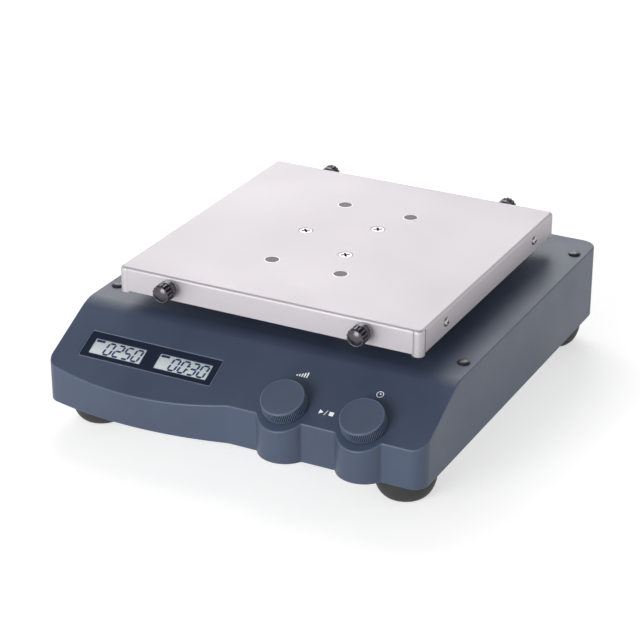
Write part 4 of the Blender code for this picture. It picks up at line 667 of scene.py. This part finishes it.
def make_thumb_screw(corner):
    """A fluted grip with a low dome, a plain collar behind it, a neck and its stud."""
    flutes, steps = 15, 10
    seat, shoulder, grip, end = 0.0016, 0.0032, 0.0077, 0.0142
    profile = [
        (0, end), (0.0012, end - 0.00006), (0.0024, end - 0.00025), (0.0035, end - 0.00055),
        (0.0044, end - 0.00095), (0.0050, end - 0.0013), (0.0053, end - 0.0012), (0.0058, end - 0.0012), (0.0061, end - 0.0014),
        (0.0064, end - 0.0019), (0.0064, grip + 0.0004), (0.0060, grip), (0.0060, grip - 0.0004),
        (0.0063, grip - 0.0007), (0.0064, shoulder + 0.0006), (0.0060, shoulder), (0.0042, shoulder),
        (0.0042, seat), (0.0025, seat), (0.0025, -0.0124), (0.0021, -0.0128), (0, -0.0128),
    ]
    bm = turned(profile, flutes * steps)
    painted_shade_and_highlight = bm.verts.layers.float.new("painted_shade_and_highlight")
    for vert in bm.verts:
        reach = math.hypot(vert.co.x, vert.co.y)
        if vert.co.z > grip + 0.0003 and reach > 0.0056:
            turn = (math.atan2(vert.co.y, vert.co.x) % math.tau) / math.tau * flutes
            hollow = 0.0010 * max(0.0, math.cos((turn % 1 - 0.5) * math.tau)) ** 0.6
            keep = 1 - hollow * min(1.0, (reach - 0.0056) / 0.0006) / reach
            vert.co.x *= keep
            vert.co.y *= keep
            # painted shade in the hollows of the flutes
            vert[painted_shade_and_highlight] = hollow / 0.0010 * min(1.0, (reach - 0.0056) / 0.0006)
        # painted shade in the narrow waist between the grip and the collar
        elif shoulder < vert.co.z < grip + 0.0001 and reach < 0.0062:
            vert[painted_shade_and_highlight] = 1.0
    place = flange_place(corner)
    new_piece("thumb_grip_" + corner, bm, THUMB, "thumb_" + corner,
              ["thumb_screw_" + corner], place)
    washer = ring([(0.0052, 0.0013), (0.0052, 0.0003), (0.0028, 0.0003), (0.0028, 0.0013)], 48)
    round_edges(washer, 0.0002, 2)
    new_piece("spring_washer_" + corner, washer, STEEL, "washer_" + corner,
              ["lock_washer_" + corner], place)


# Rear inlet
def make_inlet():
    place = rear_place(-0.08, 0.0478)
    rim = plate(0.056, 0.033, 0.0025, 0.00015, 0.0014)
    round_edges(rim, 0.0004, 2, 50, lambda e: all(v.co.z > 0.001 for v in e.verts))
    socket = plate(0.0240, 0.0165, 0, -0.016, 0.004, (0.0095, 0))
    shoulders = [
        e for e in socket.edges if abs(e.verts[0].co.z - e.verts[1].co.z) > 0.001 and e.verts[0].co.y > 0
    ]
    bmesh.ops.bevel(
        socket, geom=shoulders, offset=0.005, segments=1, profile=0.5, affect="EDGES", material=-1
    )
    well = plate(0.0128, 0.0204, 0, -0.010, 0.004, (-0.0145, 0))
    body = plate(0.048, 0.028, 0, -0.024, 0.0003)
    body = carved(body, socket.copy(), well.copy())
    rim = carved(rim, socket, well)
    blades = []
    for step in (-1, 0, 1):
        x, y = 0.0095 + step * 0.007, 0.002 if step == 0 else -0.002
        blade = block((x - 0.001, y - 0.002, -0.0163), (x + 0.001, y + 0.002, -0.004))
        blades.append(round_edges(blade, 0.0003, 2))
    new_piece("inlet_body", together(body, rim), INLET, "base", ["power_inlet"], place)
    new_piece("inlet_blades", together(*blades), STEEL, "base", place=place)


def smooth_copy(node, finish, body):
    """A merged copy of a CAD solid with smooth round faces."""
    bm = bmesh.new()
    bm.from_mesh(frame["nodes"][node].data)
    bmesh.ops.remove_doubles(bm, verts=bm.verts, dist=WELD)
    new_piece("fine_" + node, bm, finish, body, [node])


# Effects shared by several finishes
def group_start(name, inputs, outputs):
    group = bpy.data.node_groups.new(name, "ShaderNodeTree")
    for label, kind, value in inputs:
        socket = group.interface.new_socket(label, in_out="INPUT", socket_type=kind)
        socket.default_value = value
    for label, kind in outputs:
        group.interface.new_socket(label, in_out="OUTPUT", socket_type=kind)
    return group, group.nodes.new("NodeGroupInput"), group.nodes.new("NodeGroupOutput")


def add(tree, kind, links=None, **settings):
    """Adds a node, sets its properties and inputs, and links what feeds it."""
    node = tree.nodes.new(kind)
    for key, value in settings.items():
        if key.startswith("in_"):
            node.inputs[int(key[3:])].default_value = value
        else:
            setattr(node, key, value)
    for index, source in (links or {}).items():
        tree.links.new(source, node.inputs[index])
    return node


def grain_group():
    """Fine moulded grain: a faint mottle in colour and gloss, and small pits."""
    group, source, result = group_start(
        "moulded_grain",
        [("Colour", "NodeSocketColor", (0.1, 0.1, 0.1, 1)), ("Roughness", "NodeSocketFloat", 0.5),
         ("Grain Size", "NodeSocketFloat", 2500.0), ("Depth", "NodeSocketFloat", 0.2)],
        [("Colour", "NodeSocketColor"), ("Roughness", "NodeSocketFloat"), ("Normal", "NodeSocketVector")],
    )
    place = add(group, "ShaderNodeTexCoord")
    fine = add(group, "ShaderNodeTexNoise",
               {"Vector": place.outputs["Object"], "Scale": source.outputs["Grain Size"]})
    fine.inputs["Detail"].default_value = 2
    broad = add(group, "ShaderNodeTexNoise", {"Vector": place.outputs["Object"]})
    broad.inputs["Scale"].default_value = 22
    broad.inputs["Detail"].default_value = 4
    shade = add(group, "ShaderNodeMapRange", {"Value": broad.outputs["Fac"]})
    for index, value in ((1, 0.3), (2, 0.7), (3, 0.93), (4, 1.07)):
        shade.inputs[index].default_value = value
    speck = add(group, "ShaderNodeMapRange", {"Value": fine.outputs["Fac"]})
    for index, value in ((1, 0.3), (2, 0.7), (3, 0.96), (4, 1.04)):
        speck.inputs[index].default_value = value
    both = add(group, "ShaderNodeMath", {0: shade.outputs[0], 1: speck.outputs[0]}, operation="MULTIPLY")
    tint = add(group, "ShaderNodeVectorMath", {0: source.outputs["Colour"], 1: both.outputs[0]},
               operation="MULTIPLY")
    gloss = add(group, "ShaderNodeMapRange", {"Value": broad.outputs["Fac"]})
    for index, value in ((1, 0.3), (2, 0.7), (3, -0.04), (4, 0.05)):
        gloss.inputs[index].default_value = value
    rough = add(group, "ShaderNodeMath", {0: source.outputs["Roughness"], 1: gloss.outputs[0]},
                operation="ADD")
    bump = add(group, "ShaderNodeBump", {"Height": fine.outputs["Fac"], "Strength": source.outputs["Depth"]})
    bump.inputs["Distance"].default_value = 0.00004
    group.links.new(tint.outputs[0], result.inputs["Colour"])
    group.links.new(rough.outputs[0], result.inputs["Roughness"])
    group.links.new(bump.outputs[0], result.inputs["Normal"])
    return group


def brush_group():
    """Metal brushed along X: long fine scratches that vary colour, gloss and height."""
    group, source, result = group_start(
        "brushed_metal",
        [("Colour", "NodeSocketColor", (0.7, 0.7, 0.7, 1)), ("Roughness", "NodeSocketFloat", 0.35),
         ("Stretch", "NodeSocketVector", (30.0, 1500.0, 1500.0)), ("Depth", "NodeSocketFloat", 0.04)],
        [("Colour", "NodeSocketColor"), ("Roughness", "NodeSocketFloat"), ("Normal", "NodeSocketVector")],
    )
    place = add(group, "ShaderNodeTexCoord")
    stretch = add(group, "ShaderNodeVectorMath",
                  {0: place.outputs["Object"], 1: source.outputs["Stretch"]}, operation="MULTIPLY")
    lines = add(group, "ShaderNodeTexNoise", {"Vector": stretch.outputs[0]})
    lines.inputs["Scale"].default_value = 1.0
    lines.inputs["Detail"].default_value = 3
    cloud = add(group, "ShaderNodeTexNoise", {"Vector": place.outputs["Object"]})
    cloud.inputs["Scale"].default_value = 9.0
    cloud.inputs["Detail"].default_value = 3
    shade = add(group, "ShaderNodeMapRange", {"Value": lines.outputs["Fac"]})
    for index, value in ((1, 0.3), (2, 0.7), (3, 0.985), (4, 1.015)):
        shade.inputs[index].default_value = value
    tint = add(group, "ShaderNodeVectorMath", {0: source.outputs["Colour"], 1: shade.outputs[0]},
               operation="MULTIPLY")
    mix = add(group, "ShaderNodeMath", {0: lines.outputs["Fac"], 1: cloud.outputs["Fac"]}, operation="ADD")
    gloss = add(group, "ShaderNodeMapRange", {"Value": mix.outputs[0]})
    for index, value in ((1, 0.7), (2, 1.3), (3, -0.03), (4, 0.05)):
        gloss.inputs[index].default_value = value
    rough = add(group, "ShaderNodeMath", {0: source.outputs["Roughness"], 1: gloss.outputs[0]},
                operation="ADD")
    bump = add(group, "ShaderNodeBump", {"Height": lines.outputs["Fac"], "Strength": source.outputs["Depth"]})
    bump.inputs["Distance"].default_value = 0.00003
    group.links.new(tint.outputs[0], result.inputs["Colour"])
    group.links.new(rough.outputs[0], result.inputs["Roughness"])
    group.links.new(bump.outputs[0], result.inputs["Normal"])
    return group


def finish_of(name, group, colour, roughness, settings=None, **constants):
    """A material whose colour, gloss and relief come from a shared effect."""
    made = bpy.data.materials.new(name)
    made.use_nodes = True
    tree = made.node_tree
    shader = tree.nodes["Principled BSDF"]
    effect = tree.nodes.new("ShaderNodeGroup")
    effect.node_tree = group
    effect.inputs["Colour"].default_value = (*colour, 1)
    effect.inputs["Roughness"].default_value = roughness
    for label, value in (settings or {}).items():
        effect.inputs[label].default_value = value
    tree.links.new(effect.outputs["Colour"], shader.inputs["Base Color"])
    tree.links.new(effect.outputs["Roughness"], shader.inputs["Roughness"])
    tree.links.new(effect.outputs["Normal"], shader.inputs["Normal"])
    for label, value in constants.items():
        shader.inputs[label.replace("_", " ")].default_value = value
    return made


def toned(base, label, strongest):
    """A finish made darker or lighter by the number that its piece carries, from none at 0 to full at 1."""
    tree = base.node_tree
    shader, effect = tree.nodes["Principled BSDF"], next(n for n in tree.nodes if n.type == "GROUP")
    amount = add(tree, "ShaderNodeAttribute", attribute_name=label)
    tone = add(tree, "ShaderNodeMapRange", {"Value": amount.outputs["Fac"]}, clamp=False)
    for index, value in ((1, 0.0), (2, 1.0), (3, 1.0), (4, strongest)):
        tone.inputs[index].default_value = value
    shaded = add(tree, "ShaderNodeVectorMath", {0: effect.outputs["Colour"], 1: tone.outputs[0]},
                 operation="MULTIPLY")
    tree.links.new(shaded.outputs[0], shader.inputs["Base Color"])
    return base


def srgb(*values):
    """Linear colour of a screen colour given from 0 to 255."""
    return tuple(((v / 255 + 0.055) / 1.055) ** 2.4 if v > 10 else v / 255 / 12.92 for v in values)


GRAIN = grain_group()
BRUSH = brush_group()
EVEN_GRAIN = {"Stretch": (300.0, 300.0, 300.0)}
# the housing's marked edge bands are painted lighter: a painted highlight
SHELL = toned(finish_of("housing_plastic", GRAIN, srgb(70, 82, 105), 0.42), "edge", 1.35)
CAP = finish_of("cap_plastic", GRAIN, srgb(48, 50, 58), 0.26, {"Depth": 0.05})
# knob: painted shade in the rib hollows, painted highlight on the crests and the rim
KNOB = toned(finish_of("knob_plastic", GRAIN, srgb(78, 91, 112), 0.4), "painted_shade_and_highlight", 0.08)
FOOT_RUBBER = finish_of("foot_rubber", GRAIN, srgb(46, 46, 47), 0.62, {"Depth": 0.35, "Grain Size": 1500.0})
BEZEL = finish_of("bezel_gloss", GRAIN, srgb(32, 40, 60), 0.16, {"Depth": 0.02})
# the trim's light blue-grey is a painted highlight round the window
TRIM_PAINTED_HIGHLIGHT = finish_of("display_trim_painted_highlight", GRAIN, srgb(112, 126, 148), 0.3, {"Depth": 0.02})
LCD = finish_of("lcd_ground", GRAIN, srgb(216, 226, 228), 0.35, {"Depth": 0.02},
                Emission_Color=(0.95, 1, 1, 1), Emission_Strength=0.12)
LCD = toned(LCD, "painted_frame_shade", 0.5)  # painted shade: the ground is darker towards the top edge and the right end, as if shaded by the window frame
DIGIT = finish_of("lcd_digit", GRAIN, srgb(4, 54, 112), 0.5, {"Depth": 0.02})
# white print with a painted glow: it gives off light though it is no lamp
PRINT_WITH_PAINTED_GLOW = finish_of("panel_print_painted_glow", GRAIN, srgb(246, 248, 250), 0.5, {"Depth": 0.05},
                  Emission_Color=(1, 1, 1, 1), Emission_Strength=0.22)
PLUG = finish_of("plug_grey", GRAIN, srgb(134, 128, 130), 0.6)
# thumb screws: painted shade in the flute hollows and the waist
THUMB = toned(finish_of("thumb_black", GRAIN, srgb(84, 82, 88), 0.24, {"Depth": 0.02}, Metallic=0.85),
              "painted_shade_and_highlight", 0.12)
INLET = finish_of("inlet_black", GRAIN, srgb(38, 38, 40), 0.45)
ROCKER = finish_of("rocker_black", GRAIN, srgb(34, 34, 36), 0.3, {"Depth": 0.05})
PULLEY = finish_of("pulley_black", GRAIN, srgb(42, 42, 44), 0.5)
BELT = finish_of("belt_rubber", GRAIN, srgb(38, 38, 38), 0.7, {"Depth": 0.4})
BOARD = finish_of("board_green", GRAIN, srgb(30, 92, 58), 0.4, {"Depth": 0.05})
BRUSHED = finish_of("brushed_platform", BRUSH, srgb(203, 198, 202), 0.57, Metallic=0.75)
# the lip's near-white colour is a painted highlight round each plug
PLUG_LIP_PAINTED_HIGHLIGHT = finish_of("plug_lip_painted_highlight", BRUSH, srgb(250, 248, 250), 0.4, EVEN_GRAIN, Metallic=0.5)
STEEL = finish_of("bright_steel", BRUSH, srgb(205, 203, 203), 0.24, EVEN_GRAIN, Metallic=1.0)
# screws: painted shade in the cross recesses
SCREW = toned(finish_of("screw_steel", BRUSH, srgb(192, 190, 191), 0.42, EVEN_GRAIN, Metallic=1.0),
              "painted_shade_and_highlight", 0.08)
PLATED = finish_of("plated_steel", BRUSH, srgb(150, 152, 156), 0.4, {"Stretch": (60.0, 60.0, 60.0)},
                   Metallic=1.0)
CAST = finish_of("cast_aluminium", GRAIN, srgb(184, 184, 187), 0.5, {"Grain Size": 900.0, "Depth": 0.4},
                 Metallic=1.0)

make_housing()
make_feet()
make_deck_caps()
make_display()
for knob, x in zip(("speed", "time"), KNOB_X):
    make_knob(knob, x)
make_marks()
make_tray()
make_screws()
for corner in CORNERS:
    make_thumb_screw(corner)
make_inlet()

INSIDE = {
    "base_plate": (PLATED, "plated_steel"), "chassis": (PLATED, "plated_steel"),
    "main_bearing": (CAST, "cast_aluminium"), "idler_bearing_1": (CAST, "cast_aluminium"),
    "idler_bearing_2": (CAST, "cast_aluminium"), "idler_bearing_3": (CAST, "cast_aluminium"),
    "motor": (PLATED, "plated_steel"), "power_board": (BOARD, "board_green"),
    "control_board": (BOARD, "board_green"), "speed_encoder": (STEEL, "bright_steel"),
    "time_encoder": (STEEL, "bright_steel"), "drive_belt": (BELT, "belt_rubber"),
    "crank_shaft": (STEEL, "bright_steel"), "driven_pulley": (PULLEY, "pulley_black"),
    "counterweight": (PLATED, "plated_steel"), "motor_pulley": (STEEL, "bright_steel"),
    "platform_carrier": (CAST, "cast_aluminium"), "pin_bearing": (STEEL, "bright_steel"),
    "idler_crank_1": (STEEL, "bright_steel"), "idler_crank_2": (STEEL, "bright_steel"),
    "idler_crank_3": (STEEL, "bright_steel"), "speed_push_rod": (STEEL, "bright_steel"),
    "time_push_rod": (STEEL, "bright_steel"), "power_rocker": (ROCKER, "rocker_black"),
}
BODY_OF = {node: body for body, nodes in frame["record"]["behaviour"]["bodies"].items() for node in nodes}
for node, (finish, slot) in INSIDE.items():
    smooth_copy(node, finish, BODY_OF[node])


# Floor, light and camera
def backdrop_white(tree, lit, strength):
    """Adds white to what the camera and mirrors see, and leaves the light on the object alone."""
    path = add(tree, "ShaderNodeLightPath")
    seen = add(tree, "ShaderNodeMath", {0: path.outputs["Is Camera Ray"], 1: path.outputs["Is Glossy Ray"]},
               operation="MAXIMUM")
    seen = add(tree, "ShaderNodeMath", {0: seen.outputs[0], 1: path.outputs["Is Transmission Ray"]},
               operation="MAXIMUM")
    glow = add(tree, "ShaderNodeEmission")
    glow.inputs["Color"].default_value = (1, 1, 1, 1)
    power = add(tree, "ShaderNodeMath", {0: seen.outputs[0]}, operation="MULTIPLY")
    power.inputs[1].default_value = strength
    tree.links.new(power.outputs[0], glow.inputs["Strength"])
    return add(tree, "ShaderNodeAddShader", {0: lit, 1: glow.outputs[0]})


def make_floor():
    bm = bmesh.new()
    bmesh.ops.create_grid(bm, x_segments=1, y_segments=1, size=6)
    floor = held("floor", bm)
    made = bpy.data.materials.new("floor_white")
    made.use_nodes = True
    tree = made.node_tree
    tree.nodes.remove(tree.nodes["Principled BSDF"])
    lit = add(tree, "ShaderNodeBsdfDiffuse")
    lit.inputs["Color"].default_value = (0.82, 0.82, 0.82, 1)
    shown = backdrop_white(tree, lit.outputs[0], 0.55)
    tree.links.new(shown.outputs[0], tree.nodes["Material Output"].inputs["Surface"])
    floor.data.materials.append(made)


def make_world():
    """A white surround for the camera, a softer light for the object, darker overhead in reflections."""
    world = bpy.data.worlds.new("studio")
    bpy.context.scene.world = world
    world.use_nodes = True
    tree = world.node_tree
    shine = tree.nodes["Background"]
    path = add(tree, "ShaderNodeLightPath")
    place = add(tree, "ShaderNodeTexCoord")
    height = add(tree, "ShaderNodeSeparateXYZ", {0: place.outputs["Generated"]})
    overhead = add(tree, "ShaderNodeMapRange", {"Value": height.outputs["Z"]},
                   interpolation_type="SMOOTHSTEP")
    for index, value in ((1, 0.42), (2, 0.80), (3, 1.0), (4, 0.10)):
        overhead.inputs[index].default_value = value
    seen = add(tree, "ShaderNodeMath", {0: path.outputs["Is Camera Ray"]}, operation="MULTIPLY")
    seen.inputs[1].default_value = 1.0
    faint = add(tree, "ShaderNodeMath", {0: overhead.outputs[0]}, operation="MULTIPLY_ADD")
    faint.inputs[1].default_value = 0.40
    faint.inputs[2].default_value = 0.16
    soft = add(tree, "ShaderNodeMix", {0: path.outputs["Is Diffuse Ray"], 2: overhead.outputs[0],
                                       3: faint.outputs[0]}, data_type="FLOAT")
    final = add(tree, "ShaderNodeMath", {0: soft.outputs[0], 1: seen.outputs[0]}, operation="MAXIMUM")
    tree.links.new(final.outputs[0], shine.inputs["Strength"])
    shine.inputs["Color"].default_value = (1, 1, 1, 1)


def softbox(name, spot, target, size, power):
    lamp = bpy.data.lights.new(name, "AREA")
    lamp.shape = "SQUARE"
    lamp.size = size
    lamp.energy = power
    obj = bpy.data.objects.new(name, lamp)
    bpy.context.scene.collection.objects.link(obj)
    obj.location = spot
    obj.rotation_euler = (Vector(target) - Vector(spot)).to_track_quat("-Z", "Y").to_euler()


make_floor()
make_world()
softbox("key_light", (-0.75, 1.3, 1.3), (0, 0, 0.05), 1.3, 14.0)
softbox("fill_light", (-0.25, -1.75, 0.55), (0, 0, 0.05), 0.9, 17.0)

camera = bpy.data.cameras.new("camera")
camera.lens = 117.16
camera.sensor_width = 36.0
camera.clip_start = 0.05
camera_object = bpy.data.objects.new("camera", camera)
bpy.context.scene.collection.objects.link(camera_object)
camera_object.location = (0.5859, -1.14923, 0.6552)
camera_object.rotation_euler = (math.radians(64.674), 0, math.radians(27.370))
bpy.context.scene.camera = camera_object
bpy.context.scene.view_settings.view_transform = "Standard"
